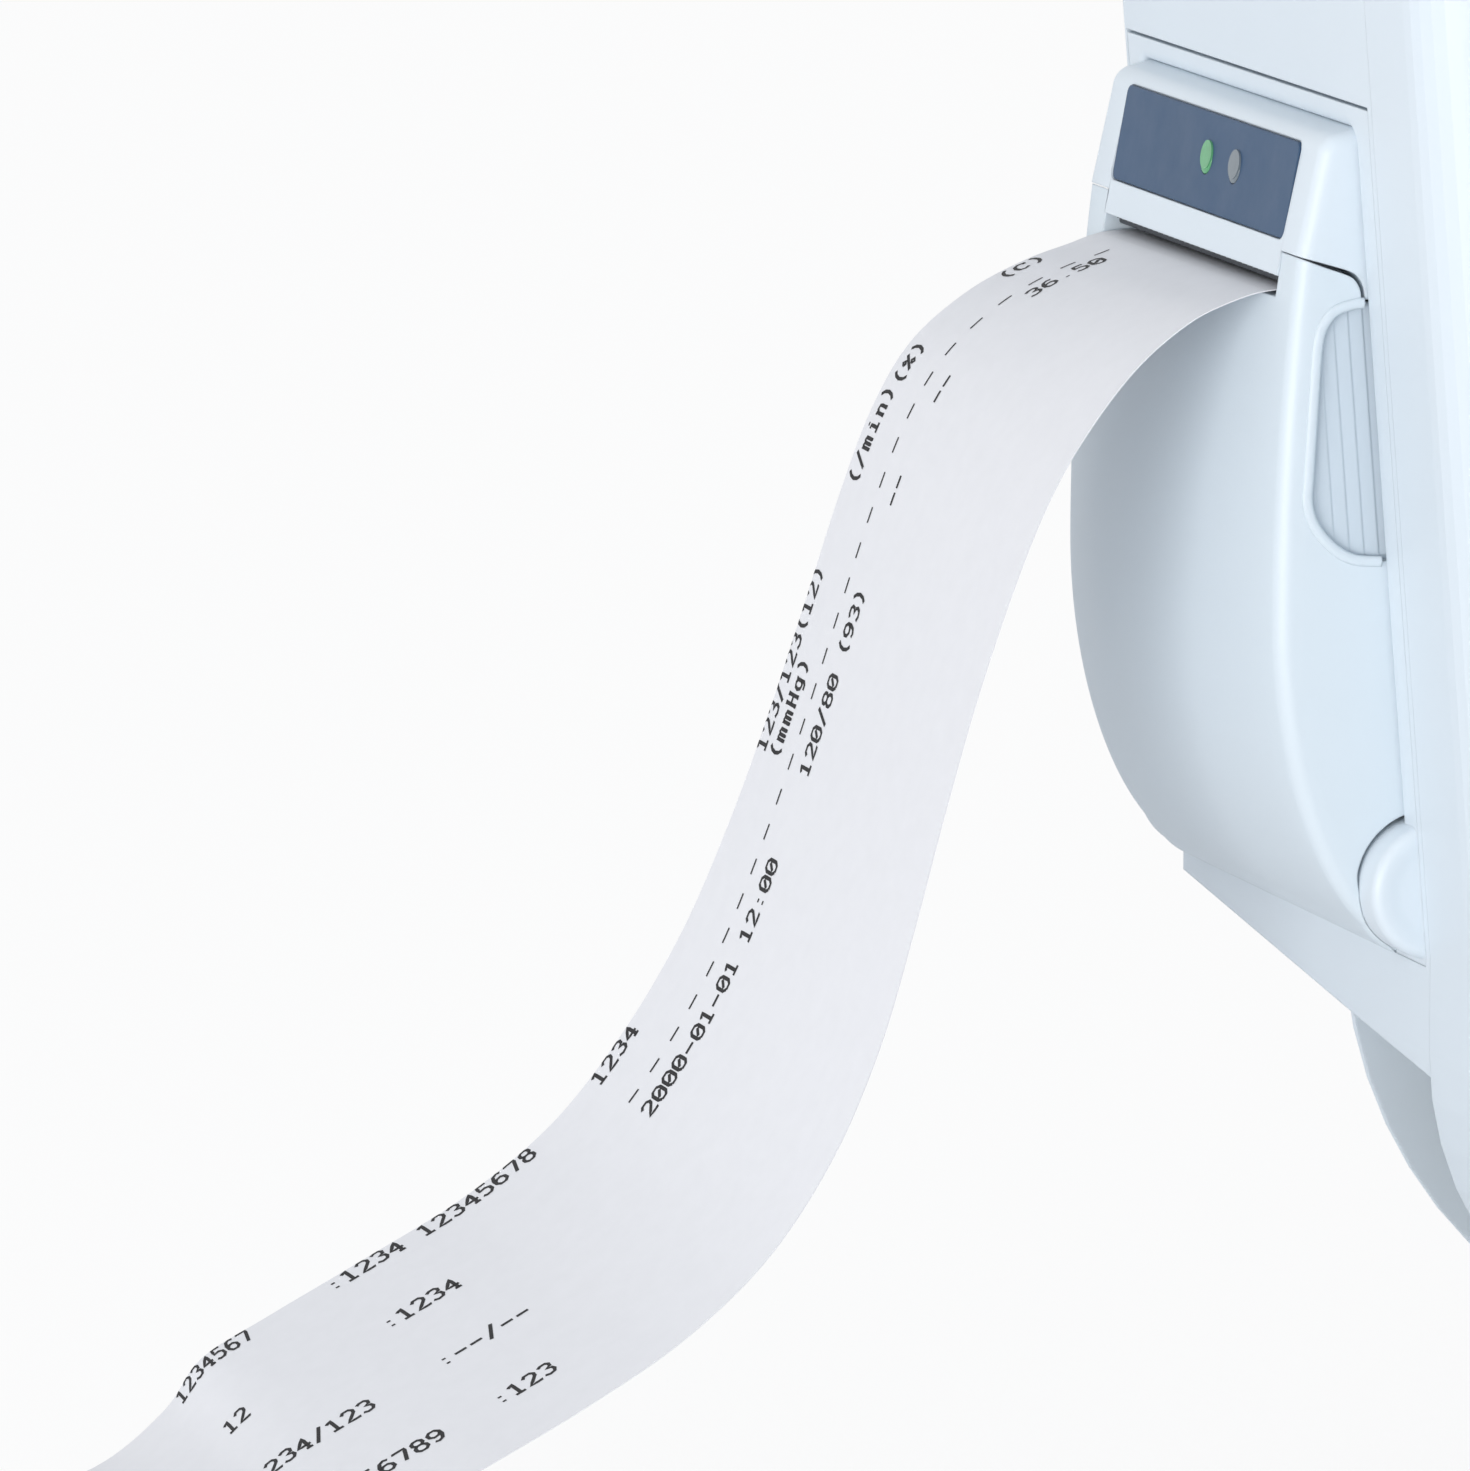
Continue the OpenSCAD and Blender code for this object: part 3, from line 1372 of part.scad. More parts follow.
module paper_strip() {
    rings = [for (i = [0:len(strip_rows) - 1]) strip_ring(i)];
    m = len(rings);
    color(paper_white) polyhedron([for (r = rings) for (p = r) p],
        concat([[0, 1, 2], [0, 2, 3]],
               [for (i = [0:m - 2], k = [0:3])
                   let (a = i * 4 + k, b = a + 4, d = i * 4 + (k + 1) % 4, c = d + 4)
                       each k == 3 ? [[a, b, d], [b, c, d]] : [[a, b, c], [a, c, d]]],
               [[4 * m - 4, 4 * m - 2, 4 * m - 3], [4 * m - 4, 4 * m - 1, 4 * m - 2]]));
}

front_case();
rear_case();
base_pad();
stand_inserts();
case_screws();
carry_handle();
display_lens();
lcd_module();
lcd_bracket();
alarm_light();
status_lamps();
cuff_key();
alarm_key();
record_key();
trend_key();
freeze_key();
menu_key();
power_key();
key_board();
rotary_knob();
encoder_shaft();
encoder_body();
main_plate();
main_board();
power_supply();
battery_pack();
battery_cover();
cuff_pump();
cuff_valve();
speaker();
connector_panel();
cuff_port();
oxygen_socket();
temperature_sockets();
ecg_socket();
power_inlet();
ground_post();
printer_frame();
printer_cover();
label_plate();
power_lamp();
fault_lamp();
printer_door();
hinge_pins();
platen_roller();
platen_shaft();
platen_bushes();
platen_gear();
idler_gear();
motor_pinion();
stepper_motor();
printer_chassis();
thermal_head();
tear_bar();
roll_spindle();
paper_roll();
paper_core();
paper_strip();
printer_board();
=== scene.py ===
"""Looks of a bedside vital signs monitor with a strip printer in its left side.

Lengths in the builders below are millimetres in the shared frame, and become metres in mesh().
+X is the reader's right when facing the screen, the screen faces -Y, +Z is up.
"""

import json
import math

import bmesh
import bpy
from mathutils import Matrix, Vector


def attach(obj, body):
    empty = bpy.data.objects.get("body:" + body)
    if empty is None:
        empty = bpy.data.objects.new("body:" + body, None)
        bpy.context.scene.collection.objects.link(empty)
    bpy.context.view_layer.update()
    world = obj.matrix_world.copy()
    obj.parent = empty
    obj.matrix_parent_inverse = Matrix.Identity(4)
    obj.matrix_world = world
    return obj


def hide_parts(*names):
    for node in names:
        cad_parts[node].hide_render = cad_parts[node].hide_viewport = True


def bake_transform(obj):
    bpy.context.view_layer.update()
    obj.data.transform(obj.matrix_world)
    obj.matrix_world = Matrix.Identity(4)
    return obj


MM = 0.001
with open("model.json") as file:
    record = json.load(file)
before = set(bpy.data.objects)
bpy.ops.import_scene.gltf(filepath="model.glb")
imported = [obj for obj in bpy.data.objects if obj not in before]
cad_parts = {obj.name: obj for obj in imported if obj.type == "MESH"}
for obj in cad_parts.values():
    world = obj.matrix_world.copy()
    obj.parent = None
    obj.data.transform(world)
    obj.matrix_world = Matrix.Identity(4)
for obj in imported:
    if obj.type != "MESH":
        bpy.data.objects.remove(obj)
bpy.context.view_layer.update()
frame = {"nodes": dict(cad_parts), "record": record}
NODE = frame["nodes"]

# Case, as in the part's source
HALF_WIDTH, REFERENCE_Z, FLARE = 104, 62, 0.0806
BAY_NEAR, BAY_FAR, BAY_BOTTOM, BAY_TOP = -34.8, 36.9, 60.7, 147.7
SEAM = 0.2
INSIDE_NEAR, INSIDE_FAR, INSIDE_TOP = BAY_NEAR + 4.1, BAY_FAR - 3.7, BAY_TOP - 2.6
HINGE_X, HINGE_Z, HINGE_PIN_R = -102.6, 68.2, 1.5
EAR_R, EAR_DEPTH = 7, 4.3
ROLL_X, ROLL_Z = -94, 90.5
PLATEN_X, PLATEN_Z = -108, 121.5
# Rounding of the ends of the door and the cover
END_ROLL = 1.5
PAPER_Y, PAPER_W = 1, 50


def half_at(z):
    """Half width of the case at a height."""
    return HALF_WIDTH + FLARE * max(z - REFERENCE_Z, 0)


def wall_x(z, off=0.0):
    """X of the left side wall at a height, off beyond it."""
    return -half_at(z) - off


def share_of(value, start, end):
    """How far a value is on its way from start to end, held at 0 before and at 1 after."""
    return min(max((value - start) / (end - start), 0), 1)


# Materials

def srgb(r, g, b):
    """Linear colour from 0-255 screen values."""
    return tuple(((c / 255 + 0.055) / 1.055) ** 2.4 if c > 10 else c / 255 / 12.92
                 for c in (r, g, b)) + (1.0,)


def node_setup(name):
    m = bpy.data.materials.new(name)
    m.use_nodes = True
    nt = m.node_tree
    bsdf = next(n for n in nt.nodes if n.type == "BSDF_PRINCIPLED")
    coord = nt.nodes.new("ShaderNodeTexCoord")
    return m, nt, bsdf, coord.outputs["Object"]


def noise(nt, coord, scale, detail=3.0, rough=0.5):
    n = nt.nodes.new("ShaderNodeTexNoise")
    n.inputs["Scale"].default_value = scale
    n.inputs["Detail"].default_value = detail
    n.inputs["Roughness"].default_value = rough
    nt.links.new(coord, n.inputs["Vector"])
    return n.outputs["Fac"]


def ramp(nt, fac, stops):
    r = nt.nodes.new("ShaderNodeValToRGB")
    while len(r.color_ramp.elements) < len(stops):
        r.color_ramp.elements.new(0.5)
    for e, (pos, colour) in zip(r.color_ramp.elements, stops):
        e.position, e.color = pos, colour
    nt.links.new(fac, r.inputs["Fac"])
    return r.outputs["Color"]


def to_range(nt, fac, low, high):
    r = nt.nodes.new("ShaderNodeMapRange")
    r.inputs["From Min"].default_value, r.inputs["From Max"].default_value = 0.3, 0.7
    r.inputs["To Min"].default_value, r.inputs["To Max"].default_value = low, high
    nt.links.new(fac, r.inputs["Value"])
    return r.outputs["Result"]


def shade(colour, k):
    return tuple(min(1.0, c * k) for c in colour[:3]) + (1.0,)


def finish_material(name, colour, rough=(0.35, 0.45), vary=0.02, vary_scale=14, grain=900,
                    grain_depth=0.004, edge=0.0003, metallic=0.0):
    """Moulded, machined or printed finish: slow colour drift, uneven gloss and a fine surface grain."""
    m, nt, bsdf, coord = node_setup(name)
    bsdf.inputs["Metallic"].default_value = metallic
    drift = noise(nt, coord, vary_scale)
    nt.links.new(ramp(nt, drift, [(0.3, shade(colour, 1 - vary)), (0.7, shade(colour, 1 + vary))]),
                 bsdf.inputs["Base Color"])
    nt.links.new(to_range(nt, noise(nt, coord, vary_scale * 4), *rough), bsdf.inputs["Roughness"])
    bump = nt.nodes.new("ShaderNodeBump")
    bump.inputs["Strength"].default_value = 0.25
    bump.inputs["Distance"].default_value = grain_depth * MM
    nt.links.new(noise(nt, coord, grain, 2.0), bump.inputs["Height"])
    if edge:
        bevel = nt.nodes.new("ShaderNodeBevel")
        bevel.samples = 4
        bevel.inputs["Radius"].default_value = edge
        nt.links.new(bevel.outputs["Normal"], bump.inputs["Normal"])
    nt.links.new(bump.outputs["Normal"], bsdf.inputs["Normal"])
    return m


CASE = srgb(221, 230, 237)
MAT = {
    "case_white": finish_material("case_white", CASE),
    "shade_white": finish_material("shade_white", srgb(216, 225, 232)),
    "door_white": finish_material("door_white", srgb(217, 227, 234)),
    "rubber_grey": finish_material("rubber_grey", srgb(74, 76, 79), (0.7, 0.85), 0.06, 30, 400, 0.02),
    "roller_rubber": finish_material("roller_rubber", srgb(43, 45, 48), (0.6, 0.7), 0.05, 60, 1200, 0.01),
    "steel": finish_material("steel", srgb(190, 193, 196), (0.28, 0.4), 0.03, 90, 1500, 0.002, metallic=1.0),
    "brass": finish_material("brass", srgb(203, 172, 98), (0.22, 0.34), 0.04, 80, 1500, 0.002, metallic=1.0),
    "tear_steel": finish_material("tear_steel", srgb(150, 156, 162), (0.3, 0.42), 0.04, 120, 1500, 0.002,
                                  metallic=1.0),
    "dark_plastic": finish_material("dark_plastic", srgb(56, 60, 66), (0.45, 0.6), 0.05, 30),
    "alarm_clear": finish_material("alarm_clear", srgb(232, 228, 216), (0.2, 0.3), 0.02, 20),
    "power_green": finish_material("power_green", srgb(120, 170, 130), (0.3, 0.4), 0.03, 40),
    "board_green": finish_material("board_green", srgb(46, 107, 74), (0.3, 0.45), 0.12, 70, 300, 0.02),
    "grey_metal": finish_material("grey_metal", srgb(150, 154, 159), (0.4, 0.5), 0.04, 40),
    "battery_blue": finish_material("battery_blue", srgb(59, 95, 138), (0.25, 0.35), 0.05, 30),
    "socket_blue": finish_material("socket_blue", srgb(60, 110, 165), (0.35, 0.45), 0.03, 50),
    "socket_green": finish_material("socket_green", srgb(76, 138, 98), (0.35, 0.45), 0.03, 50),
    "label_blue": finish_material("label_blue", srgb(54, 82, 113), (0.45, 0.55), 0.03, 60, 1500, 0.002),
    # Darker white of the grip's floor: painted shade of the recess
    "grip_floor_painted_shade": finish_material("grip_floor_painted_shade", srgb(203, 214, 223)),
    "gear_cream": finish_material("gear_cream", srgb(233, 229, 214), (0.35, 0.5), 0.03, 60),
    "ceramic": finish_material("ceramic", srgb(201, 198, 189), (0.15, 0.25), 0.03, 60),
    "card": finish_material("card", srgb(198, 178, 146), (0.75, 0.9), 0.08, 90, 500, 0.03),
    "key_white": finish_material("key_white", srgb(206, 215, 223), (0.4, 0.5), 0.02, 30),
    "print_black": finish_material("print_black", srgb(20, 20, 24), (0.6, 0.75), 0.15, 700, edge=0),
}


def paper_material():
    """Thermal paper: smooth coated face with faint fibres."""
    m, nt, bsdf, coord = node_setup("paper")
    fibre = noise(nt, coord, 420, 6.0, 0.6)
    tone = srgb(232, 232, 235)
    nt.links.new(ramp(nt, fibre, [(0.3, shade(tone, 0.985)), (0.7, shade(tone, 1.01))]),
                 bsdf.inputs["Base Color"])
    nt.links.new(to_range(nt, noise(nt, coord, 60), 0.48, 0.6), bsdf.inputs["Roughness"])
    bsdf.inputs["Specular IOR Level"].default_value = 0.3
    bump = nt.nodes.new("ShaderNodeBump")
    bump.inputs["Strength"].default_value = 0.15
    bump.inputs["Distance"].default_value = 0.00002
    nt.links.new(fibre, bump.inputs["Height"])
    nt.links.new(bump.outputs["Normal"], bsdf.inputs["Normal"])
    return m


def lamp_material(name, colour, strength):
    m, nt, bsdf, coord = node_setup(name)
    glow = noise(nt, coord, 500, 2.0)
    nt.links.new(ramp(nt, glow, [(0.3, shade(colour, 0.9)), (0.7, shade(colour, 1.08))]),
                 bsdf.inputs["Base Color"])
    bsdf.inputs["Roughness"].default_value = 0.25
    if strength:
        bsdf.inputs["Emission Color"].default_value = colour
        bsdf.inputs["Emission Strength"].default_value = strength
    return m


def glass_front():
    """Dark hard-coated screen window."""
    m, nt, bsdf, coord = node_setup("screen_glass")
    nt.links.new(ramp(nt, noise(nt, coord, 8), [(0.3, srgb(17, 20, 26)), (0.7, srgb(21, 24, 31))]),
                 bsdf.inputs["Base Color"])
    nt.links.new(to_range(nt, noise(nt, coord, 20), 0.06, 0.1), bsdf.inputs["Roughness"])
    bsdf.inputs["Coat Weight"].default_value = 0.6
    bsdf.inputs["Coat Roughness"].default_value = 0.04
    return m


MAT["paper"] = paper_material()
MAT["lamp_green"] = lamp_material("lamp_green", srgb(92, 160, 112), 0.12)
MAT["lamp_grey"] = lamp_material("lamp_grey", srgb(122, 132, 139), 0)
MAT["screen_glass"] = glass_front()


# Mesh tools

def smooth(obj, angle=32):
    for p in obj.data.polygons:
        p.use_smooth = True
    obj.data.set_sharp_from_angle(angle=math.radians(angle))
    return obj


def mesh(name, verts, faces, material, angle=32):
    me = bpy.data.meshes.new(name)
    me.from_pydata([tuple(c * MM for c in v) for v in verts], [], faces)
    me.validate()
    me.materials.append(MAT[material])
    obj = bpy.data.objects.new(name, me)
    bpy.context.scene.collection.objects.link(obj)
    bm = bmesh.new()
    bm.from_mesh(me)
    bmesh.ops.recalc_face_normals(bm, faces=bm.faces)
    bm.to_mesh(me)
    bm.free()
    return smooth(obj, angle)


def loft(name, rings, material, angle=32):
    """Skin over rings of equal length, with a flat cap at each end."""
    n, last = len(rings[0]), len(rings) - 1
    verts = [p for ring in rings for p in ring]
    faces = []
    for i in range(last):
        for k in range(n):
            after = (k + 1) % n
            faces.append((i * n + k, (i + 1) * n + k, (i + 1) * n + after, i * n + after))
    faces.append(tuple(range(n)))
    faces.append(tuple(range(last * n, (last + 1) * n)))
    return mesh(name, verts, faces, material, angle)


def bake(obj):
    """Applies the modifiers, so that the mesh is final."""
    bpy.context.view_layer.update()
    shown = obj.evaluated_get(bpy.context.evaluated_depsgraph_get())
    me = bpy.data.meshes.new_from_object(shown)
    obj.modifiers.clear()
    obj.data = me
    return obj


def boolean(obj, tools, kind="DIFFERENCE", angle=32):
    for tool in tools:
        mod = obj.modifiers.new("cut", "BOOLEAN")
        mod.operation, mod.solver, mod.object = kind, "MANIFOLD", tool
    bake(obj)
    for tool in tools:
        bpy.data.objects.remove(tool)
    return smooth(obj, angle)


def bevelled(obj, width):
    mod = obj.modifiers.new("round", "BEVEL")
    mod.width, mod.segments, mod.limit_method = width * MM, 3, "ANGLE"
    mod.angle_limit = math.radians(40)
    bake(obj)
    return smooth(obj, 50)


def prism(name, outline, y0, y1, material):
    """XZ outline pushed from y0 to y1."""
    return loft(name, [[(x, y, z) for x, z in outline] for y in (y0, y1)], material)


def block(name, low, high, material, r=0.4):
    x0, y0, z0 = low
    x1, y1, z1 = high
    b = prism(name, [(x0, z0), (x1, z0), (x1, z1), (x0, z1)], y0, y1, material)
    return bevelled(b, r) if r else b


def rod(name, x, z, r, y0, y1, material):
    sides = 48
    pts = [(x + r * math.cos(2 * math.pi * k / sides), z + r * math.sin(2 * math.pi * k / sides))
           for k in range(sides)]
    return prism(name, pts, y0, y1, material)


def arc(cx, cz, r, a0, a1, steps=8):
    return [(cx + r * math.cos(math.radians(a0 + (a1 - a0) * k / steps)),
             cz + r * math.sin(math.radians(a0 + (a1 - a0) * k / steps))) for k in range(steps + 1)]


def rolled(name, section, y0, y1, r, material, stations=(), angle=32, steps=5):
    """Bar along Y with its ends rolled over by r. section(y, inset) gives the XZ outline."""
    near = [(y0 + r * (1 - math.cos(math.radians(90 * k / steps))),
             r * (1 - math.sin(math.radians(90 * k / steps)))) for k in range(steps + 1)]
    far = [(y0 + y1 - y, inset) for y, inset in reversed(near)]
    full = near + [(y, 0) for y in stations] + far
    return loft(name, [[(x, y, z) for x, z in section(y, inset)] for y, inset in full], material,
                angle=angle)


def spline(rows, steps):
    """Smooth curve through rows of numbers, with steps points between two of them."""
    out = []
    for i in range(len(rows) - 1):
        p0, p1, p2, p3 = (rows[max(i - 1, 0)], rows[i], rows[i + 1], rows[min(i + 2, len(rows) - 1)])
        for k in range(steps):
            t = k / steps
            out.append(tuple(0.5 * (2 * b + (c - a) * t + (2 * a - 5 * b + 4 * c - d) * t * t
                                    + (3 * b - a - 3 * c + d) * t ** 3)
                             for a, b, c, d in zip(p0, p1, p2, p3)))
    return out + [rows[-1]]


def place(obj, body, *nodes, slot=None):
    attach(obj, body)
    if nodes:
        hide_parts(*nodes)
    return obj


# Finishes of the nodes that are shown as built

SLOT = {s["node"]: s["material_slot"] for s in frame["record"]["subparts"]}
for name, obj in NODE.items():
    wanted = SLOT[name]
    if name == "tear_bar":
        wanted = "tear_steel"
    if name.endswith("_key") and name != "power_key":
        wanted = "key_white"
    obj.data.materials.clear()
    obj.data.materials.append(MAT[wanted])
    smooth(obj, 30)


# Joint between the printer door and its cover, beside the slot

SLOT_NEAR, SLOT_FAR, SLOT_TOP = -25.3, 26.5, 129.75
# Middle of the gap and its half width, from the front edge back to the side wall
JOINT = [(-117.6, 132.82, 0.03), (-116.4, 132.4, 0.05), (-113.66, 131.46, 0.17), (-111, 130.54, 0.23),
         (-110.14, 129.81, 0.24), (-109.71, 128.88, 0.23), (-109.6, 127.87, 0.23)]
# The gap opens out at the far end, by this share of the end's rounding
FAR_OPENING = 0.4
# Height in the gap near which the front of the door and of the cover start
JOINT_TOP = 132.4


def joint_line(x_start, side, extra=0.0, count=18):
    """Edge beside the gap from x_start to the wall: side 1 is the cover's and -1 the door's."""
    path = []
    curve = spline(JOINT, 6)
    for i, (x, z, half) in enumerate(curve):
        a, b = curve[max(i - 1, 0)], curve[min(i + 1, len(curve) - 1)]
        t = Vector((b[0] - a[0], b[1] - a[1])).normalized()
        off = (half + extra) * side
        path.append((x - t.y * off, z + t.x * off))
    while len(path) > 2 and path[1][0] <= x_start:
        path.pop(0)
    (xa, za), (xb, zb) = path[0], path[1]
    path[0] = (x_start, za + (zb - za) * (x_start - xa) / (xb - xa))
    far = [0.0]
    for a, b in zip(path, path[1:]):
        far.append(far[-1] + math.dist(a, b))
    out = []
    for k in range(count):
        d = far[-1] * k / (count - 1)
        i = max(n for n in range(len(path) - 1) if far[n] <= d + 1e-9)
        s = (d - far[i]) / (far[i + 1] - far[i])
        out.append((path[i][0] + (path[i + 1][0] - path[i][0]) * s,
                    path[i][1] + (path[i + 1][1] - path[i][1]) * s))
    return out


# Printer door

DOOR_NEAR, DOOR_FAR = INSIDE_NEAR + 0.08, INSIDE_FAR - 0.08
BELLY_X, BELLY_Z, CURVE, FRONT_R, CROWN = -118.35, 96, 16, 331, 4
ARM_TOP, LIP_Z, DOOR_IN_X = 131.2, 127.85, -101.9
LOW_Z = HINGE_Z - EAR_R + 0.1
KNUCKLE_R, DOOR_WALL = 7.42, 1.9
DOOR_MID, DOOR_HALF = (DOOR_NEAR + DOOR_FAR) / 2, (DOOR_FAR - DOOR_NEAR) / 2


def door_outline(y, inset=0.0):
    """Section of the door: near-flat front, full belly, and the curl that ends round the hinge."""
    bulge = CROWN * (1 - ((y - DOOR_MID) / DOOR_HALF) ** 2)

    def front(z):
        share = max(0, 1 - ((z - BELLY_Z) / (ARM_TOP - BELLY_Z)) ** 2)
        return BELLY_X + (z - BELLY_Z) ** 2 / (2 * FRONT_R) - bulge * share + inset

    shoulder = joint_line(front(JOINT_TOP), -1, FAR_OPENING * inset if y > DOOR_MID else 0)
    top, steps = shoulder[0][1], 24
    pts = []
    for k in range(1, steps):
        z = top - (top - BELLY_Z) * k / steps
        pts.append((front(z), z))
    for k in range(45):
        a = math.radians(2 * k)
        x = BELLY_X + inset + (CURVE - inset) * (1 - math.cos(a)) - bulge * math.cos(a) ** 3
        z = BELLY_Z - (BELLY_Z - LOW_Z - inset) * math.sin(a)
        # Below the hinge the door keeps to a circle about its axis
        reach = math.dist((x, z), (HINGE_X, HINGE_Z))
        knuckle = KNUCKLE_R - inset
        if reach < knuckle:
            x = HINGE_X + (x - HINGE_X) * knuckle / reach
            z = HINGE_Z + (z - HINGE_Z) * knuckle / reach
        pts.append((x, z))
    pts += [(DOOR_IN_X + 0.6, HINGE_Z - KNUCKLE_R + inset), (DOOR_IN_X + 0.6, 127.2), (-109.5, 127.2)]
    return pts + shoulder[::-1]


# Border of the finger grip on the door's end, from the top of the rim line round to its foot
GRIP = [(-109.5, 127.6), (-110.6, 127.5), (-112.4, 127), (-113.7, 125.7), (-114.4, 123.6), (-114.8, 118.1),
        (-115.3, 110.1), (-115.4, 107.6), (-114.6, 105.2), (-112.7, 103), (-110.4, 101.7), (-107.5, 101.4)]
GRIP_LINE = spline(GRIP, 4)
# The grip's floor runs on behind the rim, up to the joint with the cover
GRIP_IN = [(-98, 101.8), (-98, 129), (-109.45, 129)]
GRIP_DEPTH = 0.8
BEAD_HALF, BEAD_HEIGHT = 0.56, 0.3
EAR_GAP_TOP, EAR_GAP_FRONT, EAR_GAP_LOW = 0.62, 0.38, 0.03


def ear_clearance():
    """Edge of the door round a hinge ear: a gap that narrows to the front and closes below it."""
    edge = []
    for k in range(0, 61):
        a = 90 + 2.5 * k
        r = EAR_R + EAR_GAP_TOP
        r -= (EAR_GAP_TOP - EAR_GAP_FRONT) * share_of(a, 110, 168)
        r -= (EAR_GAP_FRONT - EAR_GAP_LOW) * share_of(a, 168, 182)
        edge.append((HINGE_X + r * math.cos(math.radians(a)), HINGE_Z + r * math.sin(math.radians(a))))
    return edge


def make_door():
    end, parts = END_ROLL + 0.1, 26
    stations = [DOOR_NEAR + end + (DOOR_FAR - DOOR_NEAR - 2 * end) * k / parts for k in range(1, parts)]
    door = rolled("printer_door_shell", door_outline, DOOR_NEAR, DOOR_FAR, END_ROLL, "door_white",
                  stations, angle=30)
    inner = [(-115.6, 124.5), (-116.2, 96), (-115.2, 84), (-112, 74), (-107, 66.5), (-102, 63.3),
             (-96.9, 63.3), (-96.9, 126.2), (-115, 126.2)]
    hollow = prism("t", inner, DOOR_NEAR + DOOR_WALL, DOOR_FAR - DOOR_WALL, "door_white")
    room = block("t", (-130, SLOT_NEAR - 0.08, LIP_Z), (-90, SLOT_FAR + 0.08, ARM_TOP + 3),
                 "door_white", 0)
    cuts = [hollow, room]
    for y, s in ((DOOR_NEAR, 1), (DOOR_FAR, -1)):
        low, high = sorted((y - s, y + GRIP_DEPTH * s))
        cuts.append(prism("t", GRIP_LINE + GRIP_IN, low, high, "door_white"))
        low, high = sorted((y - s, y + EAR_DEPTH * s))
        cuts.append(prism("t", ear_clearance() + [(-80, 40), (-80, HINGE_Z + EAR_R + 0.6)], low, high,
                          "door_white"))
    boolean(door, cuts, angle=30)
    adds = []
    # Ribs that guide the paper, and the arms on the hinge pins
    guide, half_rib = 27.4, 0.9
    for y in (PAPER_Y - guide, PAPER_Y + guide):
        adds.append(block("t", (-116.5, y - half_rib, 116.5), (-104, y + half_rib, LIP_Z - 1),
                          "door_white", 0.3))
    arm = arc(HINGE_X, HINGE_Z, 4.5, -150, 40, 16)
    arm += [(HINGE_X - 6, HINGE_Z + 14), (HINGE_X - 13, HINGE_Z + 11)]
    for y0, y1 in ((-26.1, -24.3), (26.3, 28.6)):
        adds.append(prism("t", arm, y0, y1, "door_white"))
    boolean(door, adds, "UNION", angle=30)
    boolean(door, [rod("t", PLATEN_X, PLATEN_Z, 3.2, -30, 32, "door_white"),
                   rod("t", HINGE_X, HINGE_Z, HINGE_PIN_R + 0.05, -30, 32, "door_white")], angle=30)
    return place(door, "printer_door", "printer_door", slot="shade_white")


def make_grip_border(side, y, out):
    """Low rounded bead that frames the grip, out being the way that the door's end faces."""
    rings, sides = [], 12
    for i, (x, z) in enumerate(GRIP_LINE):
        a = Vector(GRIP_LINE[max(i - 1, 0)])
        b = Vector(GRIP_LINE[min(i + 1, len(GRIP_LINE) - 1)])
        t = (b - a).normalized()
        ring = []
        for k in range(sides):
            w = 2 * math.pi * k / sides
            across = BEAD_HALF * math.cos(w)
            ring.append((x - t.y * across, y + out * BEAD_HEIGHT * math.sin(w), z + t.x * across))
        rings.append(ring)
    return loft("grip_border_" + side, rings, "door_white", 60)


def make_grip_slats(side, y, out):
    """Floor of the grip: broad slats that lean with the side wall, each sloping to its neighbour."""
    floor, pitch, drop = y - out * GRIP_DEPTH, 1.55, 0.1
    rows = []
    for k in range(6, -1, -1):
        rows += [(0.2 + pitch * k, floor + out * 0.02),
                 (0.34 + pitch * (k - 1), floor + out * (0.02 + drop))]
    back = floor - out * 0.4
    rings = []
    for z in (100.5, 129):
        wall = -half_at(z)
        rings.append([(wall - off, yy, z) for off, yy in rows]
                     + [(wall + 1.6, back, z), (wall - 9.5, back, z)])
    # The slats take the darker grip white: painted shade of the recess
    slats = loft("grip_slats_" + side, rings, "grip_floor_painted_shade", angle=12)
    keep = prism("t", GRIP_LINE + [(-105.2, 101.9), (-105.2, 127.5)], y - 3, y + 3, "grip_floor_painted_shade")
    return boolean(slats, [keep], "INTERSECT", angle=12)


def make_grips():
    for side, y, out in (("near", DOOR_NEAR, -1), ("far", DOOR_FAR, 1)):
        for piece in (make_grip_border(side, y, out), make_grip_slats(side, y, out)):
            place(piece, "printer_door", slot="shade_white")


# Printer cover and label

COVER_NEAR, COVER_FAR = INSIDE_NEAR + SEAM, INSIDE_FAR - SEAM
COVER_BOTTOM, COVER_TOP, COVER_RAISE = 131.7, 144.6, 0.42
FACE_LOW_X, FACE_HIGH_X, COVER_BACK = -116.6, -114.2, -100
FACE_LEAN = (FACE_HIGH_X - FACE_LOW_X) / (COVER_TOP - COVER_BOTTOM)
FACE_TILT = math.atan(FACE_LEAN)
FACE_MID = ((FACE_LOW_X + FACE_HIGH_X) / 2, (COVER_BOTTOM + COVER_TOP) / 2)
LABEL_W, LABEL_H, LABEL_LOW = 51.4, 9.8, -9.8 / 2 + 0.25
LAMP_YS, LAMP_Z = (-0.6, -8.9), 0.45


def face_point(x, y, z):
    """Point given in the tilted cover face's own frame, in the shared frame."""
    c, s = math.cos(FACE_TILT), math.sin(FACE_TILT)
    return (FACE_MID[0] + x * c + z * s, PAPER_Y + y, FACE_MID[1] - x * s + z * c)


def face_rect(name, w0, w1, z0, z1, r, x0, x1, material, steps=5):
    """Rounded plate on the cover face from depth x0 to x1."""
    ring = (arc(w1 - r, z1 - r, r, 0, 90, steps) + arc(w0 + r, z1 - r, r, 90, 180, steps)
            + arc(w0 + r, z0 + r, r, 180, 270, steps) + arc(w1 - r, z0 + r, r, 270, 360, steps))
    return loft(name, [[face_point(x, y, z) for y, z in ring] for x in (x0, x1)], material)


